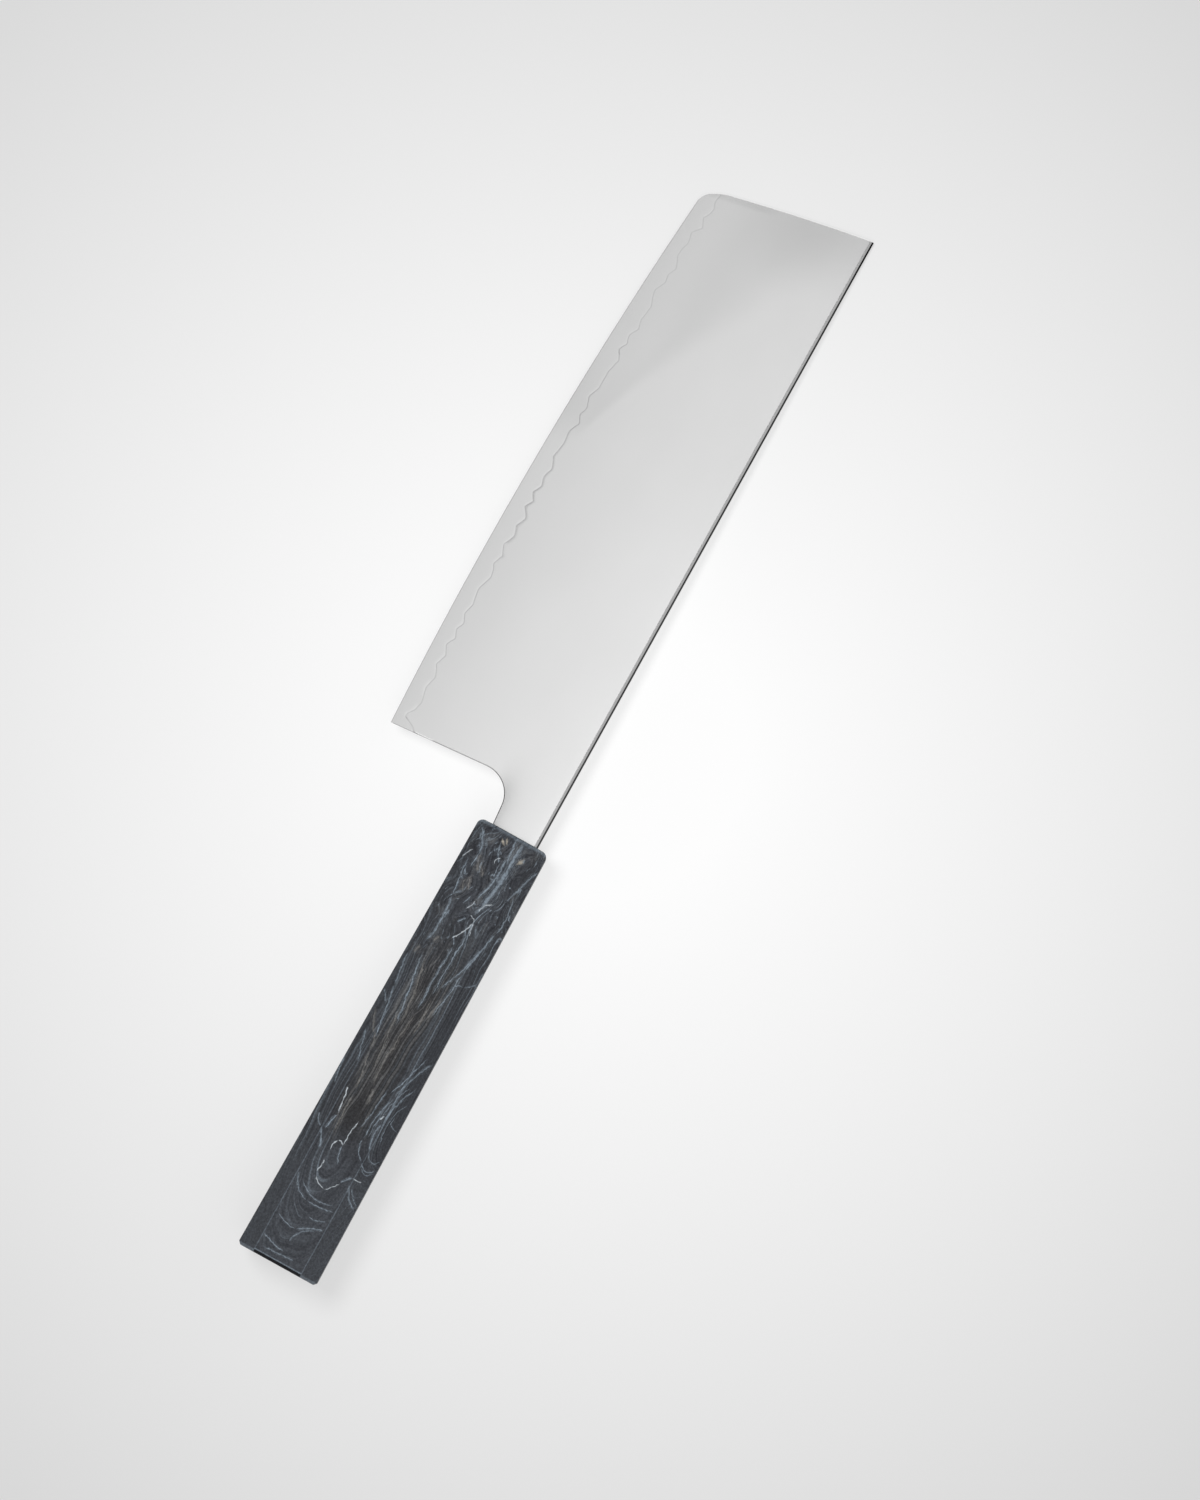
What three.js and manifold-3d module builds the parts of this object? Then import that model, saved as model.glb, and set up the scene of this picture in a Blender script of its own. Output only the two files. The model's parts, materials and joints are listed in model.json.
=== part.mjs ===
// Nakiri knife: a three-layer blade whose stick tang is glued into an eight-sided handle.
// Millimetres. The knife is drawn level, with x = 0 at the handle's front face and growing to the tip,
// y = 0 on the handle's axis and growing to the cutting edge, and z = 0 in the blade's middle plane.
// It is then laid down the way it rests on a table, with +Z up.

import * as THREE from 'three';
import { mergeVertices } from 'three/addons/utils/BufferGeometryUtils.js';
import Module from 'manifold-3d';

const wasm = await Module();
wasm.setup();

// Handle
const handleLength = 132.5;
const facetWidth = 14.4; // upper and lower facets, the same from end to end
const sideHeight = 10.9; // the two facets at the sides
const frontChamfer = 3.35; // reach of the slanted facets at the front, and at the butt
const buttChamfer = 4.8;
const frontRound = 1.3;
const buttBevel = 0.7;
const buttWall = 36; // solid plastic behind the tang's socket

// Blade, seen from the side
const edgeLength = 168.1; // heel corner to where the edge and the tip would meet with no round
const heelHeight = 51.5; // spine to edge, at the heel and at the tip
const tipHeight = 47.1;
const edgeBelly = 2.7; // bow of the edge between heel and tip
const tipLean = 9.3; // the spine runs on this far past the edge
const tipBow = 0.45;
const tipRound = 7.3;
const neckLength = 13.75; // handle to the root of the heel
const neckWidth = 13.9; // at the handle
const neckShift = 0.2; // the neck's middle lies this far to the spine's side of the handle's axis
const neckFlare = 1.04; // the neck is this much wider at the heel than at the handle
const heelLean = 2.85; // the heel's corner leans back over the neck
const choilRadius = 8;

// Blade, in section
const coreThickness = 0.8;
const neckCladding = 0.9; // each cladding layer along the spine, at the neck and at the tip
const tipCladding = 0.45;
const spineRound = 1.2; // reach of the rounds along the spine, seen from the side
const spineFlat = 0.3; // what is left between the two rounds
const bevelHeight = 0.6; // the honed bevel, and the thickness behind it
const bevelThickness = 0.26;
const flankBow = 0.08; // the flanks bulge by this much between the bevel's end and the spine
const featherEdge = 0.06; // the cladding stands this far off the core where the flank begins

// The weld line between cladding and core wanders above the edge, and dips at the heel
const coreReveal = 4.75;
const weldWaves = [
  { length: 63, phase: 0.87, atHeel: 0.3, atTip: 0.3 },
  { length: 16.1, phase: 3.8, atHeel: 0.12, atTip: 0.75 },
  { length: 7.3, phase: 0.4, atHeel: 0.3, atTip: 0.3 },
];
const weldDip = { height: 4.5, length: 2 };
const weldMargin = 0.3; // the flank begins this far below the lowest wave
const weldStep = 1.4; // spacing of the points along the line

// Tang, its bed and the seal at the handle's mouth
const tangEndWidth = 7;
const adhesiveWall = 0.6; // the socket is this much wider than the tang, all round
const sealDepth = 1.5;
const glueGap = 0.05; // clearance between glued pieces
const weldGap = 0.02; // clearance between the layers of the blade

const bladeStations = 26;
const flankRows = 5;
const roundSteps = 4;
const arcSteps = 10;
const overshoot = 5; // cutters reach this far past what they cut

// Worked out from the sizes above
const tangLength = handleLength - buttWall - adhesiveWall;
const spineDrop = neckWidth / 2 + neckShift;
const coreHalf = coreThickness / 2;
const neckHalf = coreHalf + neckCladding;
const neckEdge = neckWidth - spineDrop;
const heelRoot = new THREE.Vector2(neckLength, neckEdge + neckFlare);
const heel = new THREE.Vector2(neckLength - heelLean, heelHeight - spineDrop);
const tipCorner = new THREE.Vector2(heel.x + edgeLength, tipHeight - spineDrop);
const tipSpine = new THREE.Vector2(tipCorner.x + tipLean, -spineDrop);
const waveReach = weldWaves.reduce((sum, wave) => sum + Math.max(wave.atHeel, wave.atTip), 0);
const flankStart = coreReveal - waveReach - weldMargin;

const lerp = THREE.MathUtils.lerp;

// Solids and meshes

function solid(geometry) {
  const bare = geometry.clone();
  bare.deleteAttribute('normal');
  bare.deleteAttribute('uv');
  const merged = mergeVertices(bare);
  return new wasm.Manifold(
    new wasm.Mesh({
      numProp: 3,
      vertProperties: merged.getAttribute('position').array,
      triVerts: new Uint32Array(merged.index.array),
    }),
  );
}

function piece(name, shape, material) {
  const { vertProperties, triVerts } = shape.getMesh();
  const geometry = new THREE.BufferGeometry();
  geometry.setAttribute('position', new THREE.BufferAttribute(vertProperties, 3));
  geometry.setIndex(new THREE.BufferAttribute(triVerts, 1));
  geometry.computeVertexNormals();
  const mesh = new THREE.Mesh(geometry, material);
  mesh.name = name;
  return mesh;
}

// A flat outline given thickness, from one height to another
function plate(outline, low, high) {
  const geometry = new THREE.ExtrudeGeometry(new THREE.Shape(outline), {
    depth: high - low,
    bevelEnabled: false,
  });
  geometry.translate(0, 0, low);
  return solid(geometry);
}

// A closed solid through rings of [x, y, z] points, in order of x and turning about +X, with flat ends
function loft(rings) {
  const count = rings[0].length;
  const last = (rings.length - 1) * count;
  const faces = [];
  for (let start = 0; start < last; start += count) {
    for (let i = 0; i < count; i++) {
      const a = start + i;
      const b = start + ((i + 1) % count);
      faces.push(a, b, b + count, a, b + count, a + count);
    }
  }
  for (let i = 1; i + 1 < count; i++) {
    faces.push(0, i + 1, i);
    faces.push(last, last + i, last + i + 1);
  }
  const geometry = new THREE.BufferGeometry();
  geometry.setAttribute('position', new THREE.Float32BufferAttribute(rings.flat(2), 3));
  geometry.setIndex(faces);
  return solid(geometry);
}

// The arc that rounds the corner at b, between the lines to a and to c, no longer than either line
function roundCorner(a, b, c, wanted) {
  const toA = a.clone().sub(b);
  const toC = c.clone().sub(b);
  const half = toA.angleTo(toC) / 2;
  const reach = Math.min(wanted / Math.tan(half), toA.length(), toC.length());
  const radius = reach * Math.tan(half);
  toA.setLength(reach);
  toC.setLength(reach);
  const centre = toA.clone().add(toC).setLength(radius / Math.sin(half));
  const from = toA.clone().sub(centre).angle();
  const to = toC.clone().sub(centre).angle();
  const clockwise = toA.cross(toC) > 0;
  centre.add(b);
  return new THREE.EllipseCurve(centre.x, centre.y, radius, radius, from, to, clockwise).getPoints(arcSteps);
}

// Blade

// The cutting edge, a shallow bow from heel to tip
function edgeAt(x) {
  const along = (x - heel.x) / edgeLength;
  return lerp(heel.y, tipCorner.y, along) + 4 * edgeBelly * along * (1 - along);
}

// Half the blade's thickness at the spine: it thins from the neck to the tip
function spineHalf(x) {
  const along = THREE.MathUtils.clamp(x / tipSpine.x, 0, 1);
  return coreHalf + lerp(neckCladding, tipCladding, along);
}

// Half the blade's thickness on its flank, at a distance from the edge
function flankHalf(x, fromEdge) {
  const along = (fromEdge - flankStart) / (edgeAt(x) + spineDrop - flankStart);
  return lerp(coreHalf + featherEdge, spineHalf(x), along) + 4 * flankBow * along * (1 - along);
}

// One section of the blade before its outline is cut: bevel, flank and rounded spine
function bladeSection(x) {
  const height = edgeAt(x) + spineDrop;
  const roundDepth = Math.min(spineRound, spineHalf(x) - spineFlat / 2);
  const face = [[bevelHeight, bevelThickness / 2]];
  for (let row = 0; row < flankRows; row++) {
    const fromEdge = lerp(flankStart, height - spineRound, row / flankRows);
    face.push([fromEdge, flankHalf(x, fromEdge)]);
  }
  const shoulder = flankHalf(x, height - spineRound);
  for (let step = 0; step <= roundSteps; step++) {
    const turn = ((Math.PI / 2) * step) / roundSteps;
    face.push([height - spineRound * (1 - Math.sin(turn)), shoulder - roundDepth * (1 - Math.cos(turn))]);
  }
  const upper = [[0, 0], ...face];
  const lower = face.map(([fromEdge, half]) => [fromEdge, -half]).reverse();
  return [...upper, ...lower].map(([fromEdge, z]) => [x, edgeAt(x) - fromEdge, z]);
}

function ground() {
  const rings = [bladeSection(-tangLength - overshoot)];
  for (let station = 0; station <= bladeStations; station++) {
    rings.push(bladeSection(((tipSpine.x + overshoot) * station) / bladeStations));
  }
  return loft(rings);
}

// The tip's front leans and bows, and an arc takes it into the edge
const tipPull = tipSpine.clone().lerp(tipCorner, 0.5).add(new THREE.Vector2(2 * tipBow, 0));
const tipFront = new THREE.QuadraticBezierCurve(tipSpine, tipPull, tipCorner);
const edgeRun = edgeLength / 4;
const edgePull = new THREE.Vector2(tipCorner.x - edgeRun, 2 * tipCorner.y - edgeAt(tipCorner.x + edgeRun));
const tipArc = roundCorner(tipPull, tipCorner, edgePull, tipRound);

// The outline cuts tang, neck, heel and tip. It stays clear of the spine and the edge, which the grind shapes.
function bladeOutline() {
  const outer = heel.y + edgeBelly + overshoot;
  const heelSlope = heelLean / (heel.y - heelRoot.y);
  const tipSide = tipFront.getPoints(arcSteps).filter((point) => point.y < tipArc[0].y);
  const choil = roundCorner(heel, heelRoot, new THREE.Vector2(0, neckEdge), choilRadius);
  const points = [
    [-tangLength, -tangEndWidth / 2],
    [-sealDepth, -spineDrop],
    [-sealDepth, -spineDrop - overshoot],
    [tipSpine.x, -spineDrop - overshoot],
    ...tipSide,
    ...tipArc,
    [tipArc.at(-1).x, outer],
    [heel.x - heelSlope * (outer - heel.y), outer],
    ...choil,
    [0, neckEdge],
    [-sealDepth, neckEdge],
    [-tangLength, tangEndWidth / 2],
  ];
  return points.map((point) => (Array.isArray(point) ? new THREE.Vector2(...point) : point));
}

// Height of the weld line above the edge
function weldHeight(x) {
  const along = THREE.MathUtils.clamp((x - heel.x) / edgeLength, 0, 1);
  const dip = weldDip.height * Math.exp(-Math.max(0, x - heel.x) / weldDip.length);
  let height = coreReveal + dip;
  for (const { length, phase, atHeel, atTip } of weldWaves) {
    height += lerp(atHeel, atTip, along) * Math.sin((2 * Math.PI * x) / length + phase);
  }
  return height;
}

// Everything on the spine's side of the weld line
function claddingOutline() {
  const line = [];
  for (let x = heel.x - overshoot; x < tipSpine.x + overshoot; x += weldStep) {
    line.push(new THREE.Vector2(x, edgeAt(x) - weldHeight(x)));
  }
  const below = -spineDrop - overshoot;
  const behind = -tangLength - overshoot;
  return [
    ...line,
    new THREE.Vector2(line.at(-1).x, below),
    new THREE.Vector2(behind, below),
    new THREE.Vector2(behind, line[0].y),
  ];
}

const steelHalf = neckHalf + flankBow + overshoot;
const blade = ground().intersect(plate(bladeOutline(), -steelHalf, steelHalf));

function coreSteel() {
  const above = plate(claddingOutline(), coreHalf, steelHalf);
  const below = plate(claddingOutline(), -steelHalf, -coreHalf);
  return blade.subtract(above).subtract(below);
}

function cladding(side) {
  const inner = side * (coreHalf + weldGap);
  const outer = side * steelHalf;
  return blade.intersect(plate(claddingOutline(), Math.min(inner, outer), Math.max(inner, outer)));
}

// Handle

function chamferAt(x) {
  return lerp(frontChamfer, buttChamfer, -x / handleLength);
}

// The eight corners of the handle at x, with every facet moved in by inset
function octagon(x, inset) {
  const drawIn = inset * Math.tan(Math.PI / 8);
  const flat = facetWidth / 2 - drawIn;
  const side = sideHeight / 2 - drawIn;
  const y = facetWidth / 2 + chamferAt(x) - inset;
  const z = sideHeight / 2 + chamferAt(x) - inset;
  const upper = [[y, side], [flat, z], [-flat, z], [-y, side]];
  const lower = upper.map(([a, b]) => [-a, -b]);
  return [...upper, ...lower].map(([a, b]) => [x, a, b]);
}

// The tang's outline widened all round, between two places along the knife
function tangBed(front, back, widen, half) {
  const narrowing = (x) => Math.max(0, (-x - sealDepth) / (tangLength - sealDepth));
  const spineSide = (x) => lerp(-spineDrop, -tangEndWidth / 2, narrowing(x)) - widen;
  const edgeSide = (x) => lerp(neckEdge, tangEndWidth / 2, narrowing(x)) + widen;
  const stops = [...new Set([front, Math.min(front, -sealDepth), back])];
  const there = stops.map((x) => new THREE.Vector2(x, spineSide(x)));
  const andBack = stops.map((x) => new THREE.Vector2(x, edgeSide(x))).reverse();
  return plate([...there, ...andBack], -half, half);
}

const socketHalf = neckHalf + flankBow + adhesiveWall;
const slotHalf = neckHalf + flankBow + glueGap;

function handleBody() {
  const rings = [octagon(-handleLength, buttBevel), octagon(-handleLength + buttBevel, 0)];
  for (let step = 0; step <= roundSteps; step++) {
    const turn = ((Math.PI / 2) * step) / roundSteps;
    rings.push(octagon(-frontRound * (1 - Math.sin(turn)), frontRound * (1 - Math.cos(turn))));
  }
  return loft(rings).subtract(tangBed(overshoot, -tangLength - adhesiveWall, adhesiveWall, socketHalf));
}

// Cured adhesive between the tang and its socket, closed at the tang's end
function tangAdhesive() {
  const back = -tangLength - adhesiveWall + glueGap;
  const bed = tangBed(-sealDepth - glueGap, back, adhesiveWall - glueGap, socketHalf - glueGap);
  return bed.subtract(tangBed(overshoot, -tangLength - glueGap, glueGap, slotHalf));
}

// A bead that closes the socket round the neck, flush with the handle's front face
function neckSeal() {
  const bead = tangBed(0, -sealDepth, adhesiveWall - glueGap, socketHalf - glueGap);
  return bead.subtract(tangBed(overshoot, -sealDepth - overshoot, glueGap, slotHalf));
}

// Assembly

function steel(color, roughness) {
  return new THREE.MeshStandardMaterial({ color, roughness, metalness: 1, flatShading: true });
}

function plastic(color, roughness) {
  return new THREE.MeshStandardMaterial({ color, roughness, metalness: 0, flatShading: true });
}

const level = new THREE.Group();
level.add(
  piece('core_steel', coreSteel(), steel(0xc6c8ca, 0.32)),
  piece('cladding_right', cladding(1), steel(0xd6d7d8, 0.42)),
  piece('cladding_left', cladding(-1), steel(0xd6d7d8, 0.42)),
  piece('handle_body', handleBody(), plastic(0x2d333a, 0.5)),
  piece('tang_adhesive', tangAdhesive(), plastic(0x4a3d2a, 0.3)),
  piece('neck_seal', neckSeal(), plastic(0x1b1d1f, 0.45)),
);

// The weight lies ahead of the handle, so the knife tips forward and rests on three points: the front end
// of the lower facet on the edge's side, and the lower corners of the tip at the spine and at its round.
function restOnTable() {
  const tipEdge = tipArc[0];
  const tipShoulder = tipFront.getPoint(spineRound / tipHeight);
  const underside = ({ x, y }) => new THREE.Vector3(x, y, -flankHalf(x, edgeAt(x) - y));
  const footDrop = sideHeight / 2 + chamferAt(-frontRound);
  const handleFoot = new THREE.Vector3(-frontRound, facetWidth / 2, -footDrop);
  const table = new THREE.Plane().setFromCoplanarPoints(handleFoot, underside(tipShoulder), underside(tipEdge));
  level.quaternion.setFromUnitVectors(table.normal, new THREE.Vector3(0, 0, 1));
  level.updateMatrixWorld(true);
  const box = new THREE.Box3().setFromObject(level, true);
  const middle = box.getCenter(new THREE.Vector3());
  level.position.set(-middle.x, -middle.y, -box.min.z);
}

restOnTable();

const knife = new THREE.Group();
knife.add(level);

export default knife;
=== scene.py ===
import json
import math

import bmesh
import bpy
from mathutils import Matrix, Vector, noise


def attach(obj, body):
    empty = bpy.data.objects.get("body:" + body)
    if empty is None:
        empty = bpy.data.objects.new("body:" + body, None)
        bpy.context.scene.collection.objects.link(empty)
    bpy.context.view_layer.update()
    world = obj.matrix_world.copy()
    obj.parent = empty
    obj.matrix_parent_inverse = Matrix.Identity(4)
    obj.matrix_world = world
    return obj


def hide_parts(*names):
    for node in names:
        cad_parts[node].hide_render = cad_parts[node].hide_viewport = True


# Nakiri knife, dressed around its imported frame.
# Pieces are drawn level, in millimetres: x = 0 at the handle's front and growing to the tip,
# y = 0 on the handle's axis and growing to the cutting edge, z = 0 in the blade's middle plane.
# The rest pose then lays each mesh down where the frame has it, in metres.

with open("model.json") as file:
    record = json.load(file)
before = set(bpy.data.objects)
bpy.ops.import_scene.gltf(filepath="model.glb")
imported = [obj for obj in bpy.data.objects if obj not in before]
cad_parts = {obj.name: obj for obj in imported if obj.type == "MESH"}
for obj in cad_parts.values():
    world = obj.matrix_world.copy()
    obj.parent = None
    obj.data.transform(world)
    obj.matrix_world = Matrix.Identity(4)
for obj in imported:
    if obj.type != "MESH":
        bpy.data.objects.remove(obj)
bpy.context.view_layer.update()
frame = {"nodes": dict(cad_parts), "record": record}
scene = bpy.context.scene
scene.view_settings.view_transform = "Standard"
print("frame loaded:", ", ".join(sorted(frame["nodes"])))


def lerp(a, b, t):
    return a + (b - a) * t


def clamp(t):
    return min(max(t, 0.0), 1.0)


# Handle sizes, which also say how the knife lies

handle = dict(
    length=132.5,
    facet=14.4,  # width of the upper and lower facets
    side=10.9,  # height of the side facets
    frontChamfer=3.35,  # reach of the slanted facets at the front, and at the butt
    buttChamfer=4.8,
    frontRound=1.8,
    frontSteps=8,
    buttBevel=0.8,
    softEdge=0.16,  # the facets' edges are broken by this much, where they turn by more than the angle
    softSteps=2,
    softAngle=math.radians(25),
    bedWall=0.6,  # the socket is this much wider than the tang
    mountAt=(-60.0, 1.0),  # level place of the frame's mount on the upper facet
)


def facetHeight(x):
    chamfer = lerp(handle["frontChamfer"], handle["buttChamfer"], -x / handle["length"])
    return handle["side"] / 2 + chamfer


# The frame's handle facets say how the knife is tilted, and the upper one where it lies
mounts = {mount["name"]: mount for mount in frame["record"]["mounts"]}
upperFacet = Vector(mounts["handle_upper_facet"]["axis"])
lowerFacet = Vector(mounts["handle_lower_facet"]["axis"])
tilt = Vector((0, 0, 1)).rotation_difference(upperFacet - lowerFacet)
mountX, mountY = handle["mountAt"]
mountSpot = Vector((mountX, mountY, facetHeight(mountX))) / 1000
place = Vector(mounts["handle_upper_facet"]["pos_m"]) - tilt @ mountSpot
restPose = Matrix.Translation(place) @ tilt.to_matrix().to_4x4() @ Matrix.Scale(0.001, 4)


# Blade sizes

blade = dict(
    edgeLength=168.1,  # heel corner to where edge and tip would meet with no round
    heelHeight=51.5,
    tipHeight=47.1,
    edgeBelly=2.7,
    tipLean=9.3,  # the spine runs on this far past the edge
    tipBow=0.45,  # the front bows out by this much, and the bow fades out this far back
    bowFade=40.0,
    tipNip=(1.9, 4.2),  # the corner is cut back along the edge and down the front
    tipRounds=(3.9, 12.5),  # and both cuts are rounded
    neckLength=13.75,
    neckWidth=13.9,
    neckShift=0.2,
    neckFlare=1.04,
    heelLean=2.85,
    choilRadius=8.0,
    cornerSteps=12,
    tangLength=95.9,
    tangEndWidth=7.0,
    sealDepth=1.5,
    coreHalf=0.4,
    coreThins=15.0,  # the core fills the blade at the weld line, and this far on it has its own thickness
    neckCladding=0.9,  # each layer along the spine, at the neck and at the tip
    tipCladding=0.45,
    spineRound=1.2,
    spineFlat=0.3,
    bevelHeight=0.2,  # the honed bevel, and half the thickness behind it
    bevelHalf=0.010,
    flankBow=0.16,  # the flanks bulge by this much between bevel and spine
    columnStep=0.5,  # spacing of the mesh along the blade
)

spineY = -(blade["neckWidth"] / 2 + blade["neckShift"])
neckEdgeY = blade["neckWidth"] + spineY
heel = Vector((blade["neckLength"] - blade["heelLean"], blade["heelHeight"] + spineY))
heelRoot = Vector((blade["neckLength"], neckEdgeY + blade["neckFlare"]))
tipCorner = Vector((heel.x + blade["edgeLength"], blade["tipHeight"] + spineY))
tipSpine = Vector((tipCorner.x + blade["tipLean"], spineY))
tipNips = (
    tipCorner + (heel - tipCorner).normalized() * blade["tipNip"][0],
    tipCorner + (tipSpine - tipCorner).normalized() * blade["tipNip"][1],
)


# Camera: it looks straight down, and the knife points up and to the right

photo = dict(
    turn=math.radians(61),  # from the picture's right to the knife's length
    aim=(31.8, -8.9),  # level point under the middle of the picture
    height=406.4,  # what the picture's long side covers at the blade
    distance=4000.0,
    sensor=36.0,
    clipEnd=20.0,  # in metres
)


def makeCamera():
    data = bpy.data.cameras.new("camera")
    data.sensor_width = photo["sensor"]
    data.lens = photo["sensor"] * photo["distance"] / photo["height"]
    data.clip_end = photo["clipEnd"]
    camera = bpy.data.objects.new("camera", data)
    aim = restPose @ Vector((*photo["aim"], 0))
    camera.location = aim + Vector((0, 0, photo["distance"] / 1000))
    camera.rotation_euler = (0, 0, -photo["turn"])
    scene.collection.objects.link(camera)
    scene.camera = camera


makeCamera()
print("camera set")


# Node helpers

def put(tree, kind, sockets=None, **settings):
    node = tree.nodes.new(kind)
    for name, value in settings.items():
        setattr(node, name, value)
    for name, value in (sockets or {}).items():
        if isinstance(value, bpy.types.NodeSocket):
            tree.links.new(value, node.inputs[name])
        else:
            node.inputs[name].default_value = value
    return node


def calc(tree, operation, *values):
    return put(tree, "ShaderNodeMath", dict(enumerate(values)), operation=operation).outputs[0]


def times(tree, first, *others):
    for other in others:
        first = calc(tree, "MULTIPLY", first, other)
    return first


def vectorCalc(tree, operation, *values, output=0):
    return put(tree, "ShaderNodeVectorMath", dict(enumerate(values)), operation=operation).outputs[output]


def scaled(tree, vector, factor):
    return put(tree, "ShaderNodeVectorMath", {0: vector, "Scale": factor}, operation="SCALE").outputs[0]


def split(tree, vector):
    return put(tree, "ShaderNodeSeparateXYZ", {0: vector}).outputs


def join(tree, *parts):
    return put(tree, "ShaderNodeCombineXYZ", dict(enumerate(parts))).outputs[0]


def blend(tree, factor, a, b):
    return put(tree, "ShaderNodeMix", {0: factor, 6: a, 7: b}, data_type="RGBA").outputs[2]


def span(tree, value, low, high, outLow=0.0, outHigh=1.0):
    sockets = {"Value": value, "From Min": low, "From Max": high, "To Min": outLow, "To Max": outHigh}
    return put(tree, "ShaderNodeMapRange", sockets, interpolation_type="SMOOTHSTEP").outputs[0]


def stretch(tree, vector, scale, shift=(0, 0, 0)):
    return put(tree, "ShaderNodeMapping", {"Vector": vector, "Scale": scale, "Location": shift}).outputs[0]


def cloud(tree, vector, scale=1.0, detail=2.0, rough=0.5):
    sockets = {"Vector": vector, "Scale": scale, "Detail": detail, "Roughness": rough}
    return put(tree, "ShaderNodeTexNoise", sockets).outputs


def ripple(tree, height, strength, depth):
    sockets = {"Height": height, "Strength": strength, "Distance": depth}
    return put(tree, "ShaderNodeBump", sockets).outputs[0]


def newMaterial(name):
    material = bpy.data.materials.new(name)
    material.use_nodes = True
    material.node_tree.nodes.clear()
    return material, material.node_tree


def newGroup(name, inputs, outputs):
    group = bpy.data.node_groups.new(name, "ShaderNodeTree")
    for label, kind in inputs.items():
        group.interface.new_socket(name=label, in_out="INPUT", socket_type="NodeSocket" + kind)
    for label, kind in outputs.items():
        group.interface.new_socket(name=label, in_out="OUTPUT", socket_type="NodeSocket" + kind)
    return group, group.nodes.new("NodeGroupInput").outputs, group.nodes.new("NodeGroupOutput").inputs


def levelPlace(tree):
    # object coordinates turned back into the level drawing, in millimetres
    sockets = {
        "Vector": tree.nodes.new("ShaderNodeTexCoord").outputs["Object"],
        "Location": place,
        "Rotation": tilt.to_euler(),
        "Scale": (0.001, 0.001, 0.001),
    }
    return put(tree, "ShaderNodeMapping", sockets, vector_type="TEXTURE").outputs[0]


def finishMaterial(tree, sockets):
    shader = put(tree, "ShaderNodeBsdfPrincipled", sockets)
    put(tree, "ShaderNodeOutputMaterial", {"Surface": shader.outputs[0]})


# Steel

tipShade = dict(
    start=(104.8, 37.4),  # a soft painted shade, standing in for a darker reflection, begins on this curve and covers the tip
    fall=0.325,
    curl=0.0021,
    width=(1.2, 9.0),  # how soft it begins, near the edge and, this far on, near the spine
    length=80.0,
    fadeIn=(-7.0, 5.0),  # along the blade, about the start
    dark=0.045,
    front=(187.2, -0.197),  # the front's line: its x on the handle's axis, and its slope
    frontReach=(24.0, 1.0),  # the painted shade deepens towards the front, and clears near the edge
    frontAcross=(30.0, 10.0),
    frontDark=0.07,
    highlightAcross=(24.0, 36.0),  # near the edge a painted highlight makes the steel a little paler
    highlightAlong=(112.0, 135.0),
    edgeHighlight=0.035,
    rimReach=(2.4, 0.8),  # and there a narrow painted shade lies along the front
    rimAcross=(17.0, 25.0),
    rimDark=0.05,
)

neckShade = dict(
    middle=(heelRoot.x - blade["choilRadius"], heelRoot.y + blade["choilRadius"]),  # of the choil's round
    reach=2.4,  # a soft painted shade along the choil, and more of it under the neck
    across=(13.0, 6.0),  # it ends between these lines
    dark=0.24,
)

spineShade = dict(
    width=0.48,  # painted shade on the spine's round, standing in for the dark it reflects
    soft=0.08,
    tone=-0.93,
)

satin = dict(
    lines=(5.0, 0.3, 5.0),  # pitch of the scratches, of the finer hairs and of the drift in tone
    hairs=(17.0, 1.1, 17.0),
    drift=(0.02, 0.035, 0.02),
    gloss=-0.3,  # roughness for each unit of tone
    bumpDepth=0.00002,
)

steels = dict(
    cladding=dict(colour=(0.702, 0.702, 0.702), rough=0.2, fine=0.03, drift=0.05, bump=0.02),
    core=dict(colour=(0.674, 0.674, 0.674), rough=0.18, fine=0.03, drift=0.04, bump=0.02),
)


# painted shade and highlight on the tip, standing in for the studio's reflections
def shadeTip(group, x, y):
    startX, startY = tipShade["start"]
    beyond = calc(group, "SUBTRACT", x, startX)
    drop = calc(group, "MULTIPLY_ADD", beyond, tipShade["curl"], tipShade["fall"])
    curve = calc(group, "SUBTRACT", startY, times(group, drop, beyond))
    width = span(group, beyond, 0.0, tipShade["length"], *tipShade["width"])
    inside = span(group, calc(group, "DIVIDE", calc(group, "SUBTRACT", y, curve), width), -1.0, 1.0)
    shade = times(group, inside, span(group, beyond, *tipShade["fadeIn"]), -tipShade["dark"])
    frontX, slope = tipShade["front"]
    toFront = calc(group, "SUBTRACT", calc(group, "MULTIPLY_ADD", y, slope, frontX), x)
    front = span(group, toFront, *tipShade["frontReach"])
    front = times(group, front, span(group, y, *tipShade["frontAcross"]))
    shade = calc(group, "MULTIPLY_ADD", front, -tipShade["frontDark"], shade)
    pale = times(group, span(group, y, *tipShade["highlightAcross"]), span(group, x, *tipShade["highlightAlong"]))
    shade = calc(group, "MULTIPLY_ADD", pale, tipShade["edgeHighlight"], shade)
    frontRim = span(group, toFront, *tipShade["rimReach"])
    frontRim = times(group, frontRim, span(group, y, *tipShade["rimAcross"]))
    return calc(group, "MULTIPLY_ADD", frontRim, -tipShade["rimDark"], shade)


# painted shade along the choil and under the neck
def shadeNeck(group, x, y):
    middleX, middleY = neckShade["middle"]
    out = calc(group, "MAXIMUM", calc(group, "SUBTRACT", x, middleX), 0.0)
    down = calc(group, "MAXIMUM", calc(group, "SUBTRACT", middleY, y), 0.0)
    away = vectorCalc(group, "LENGTH", join(group, out, down), output="Value")
    inside = calc(group, "MAXIMUM", calc(group, "SUBTRACT", away, blade["choilRadius"]), 0.0)
    fade = calc(group, "EXPONENT", times(group, inside, -1 / neckShade["reach"]))
    return times(group, fade, span(group, y, *neckShade["across"]), -neckShade["dark"])


# where the spine's painted shade lies
def onSpine(group, y):
    spineEnd = spineY + spineShade["width"]
    return span(group, y, spineEnd + spineShade["soft"], spineEnd - spineShade["soft"])


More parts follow.
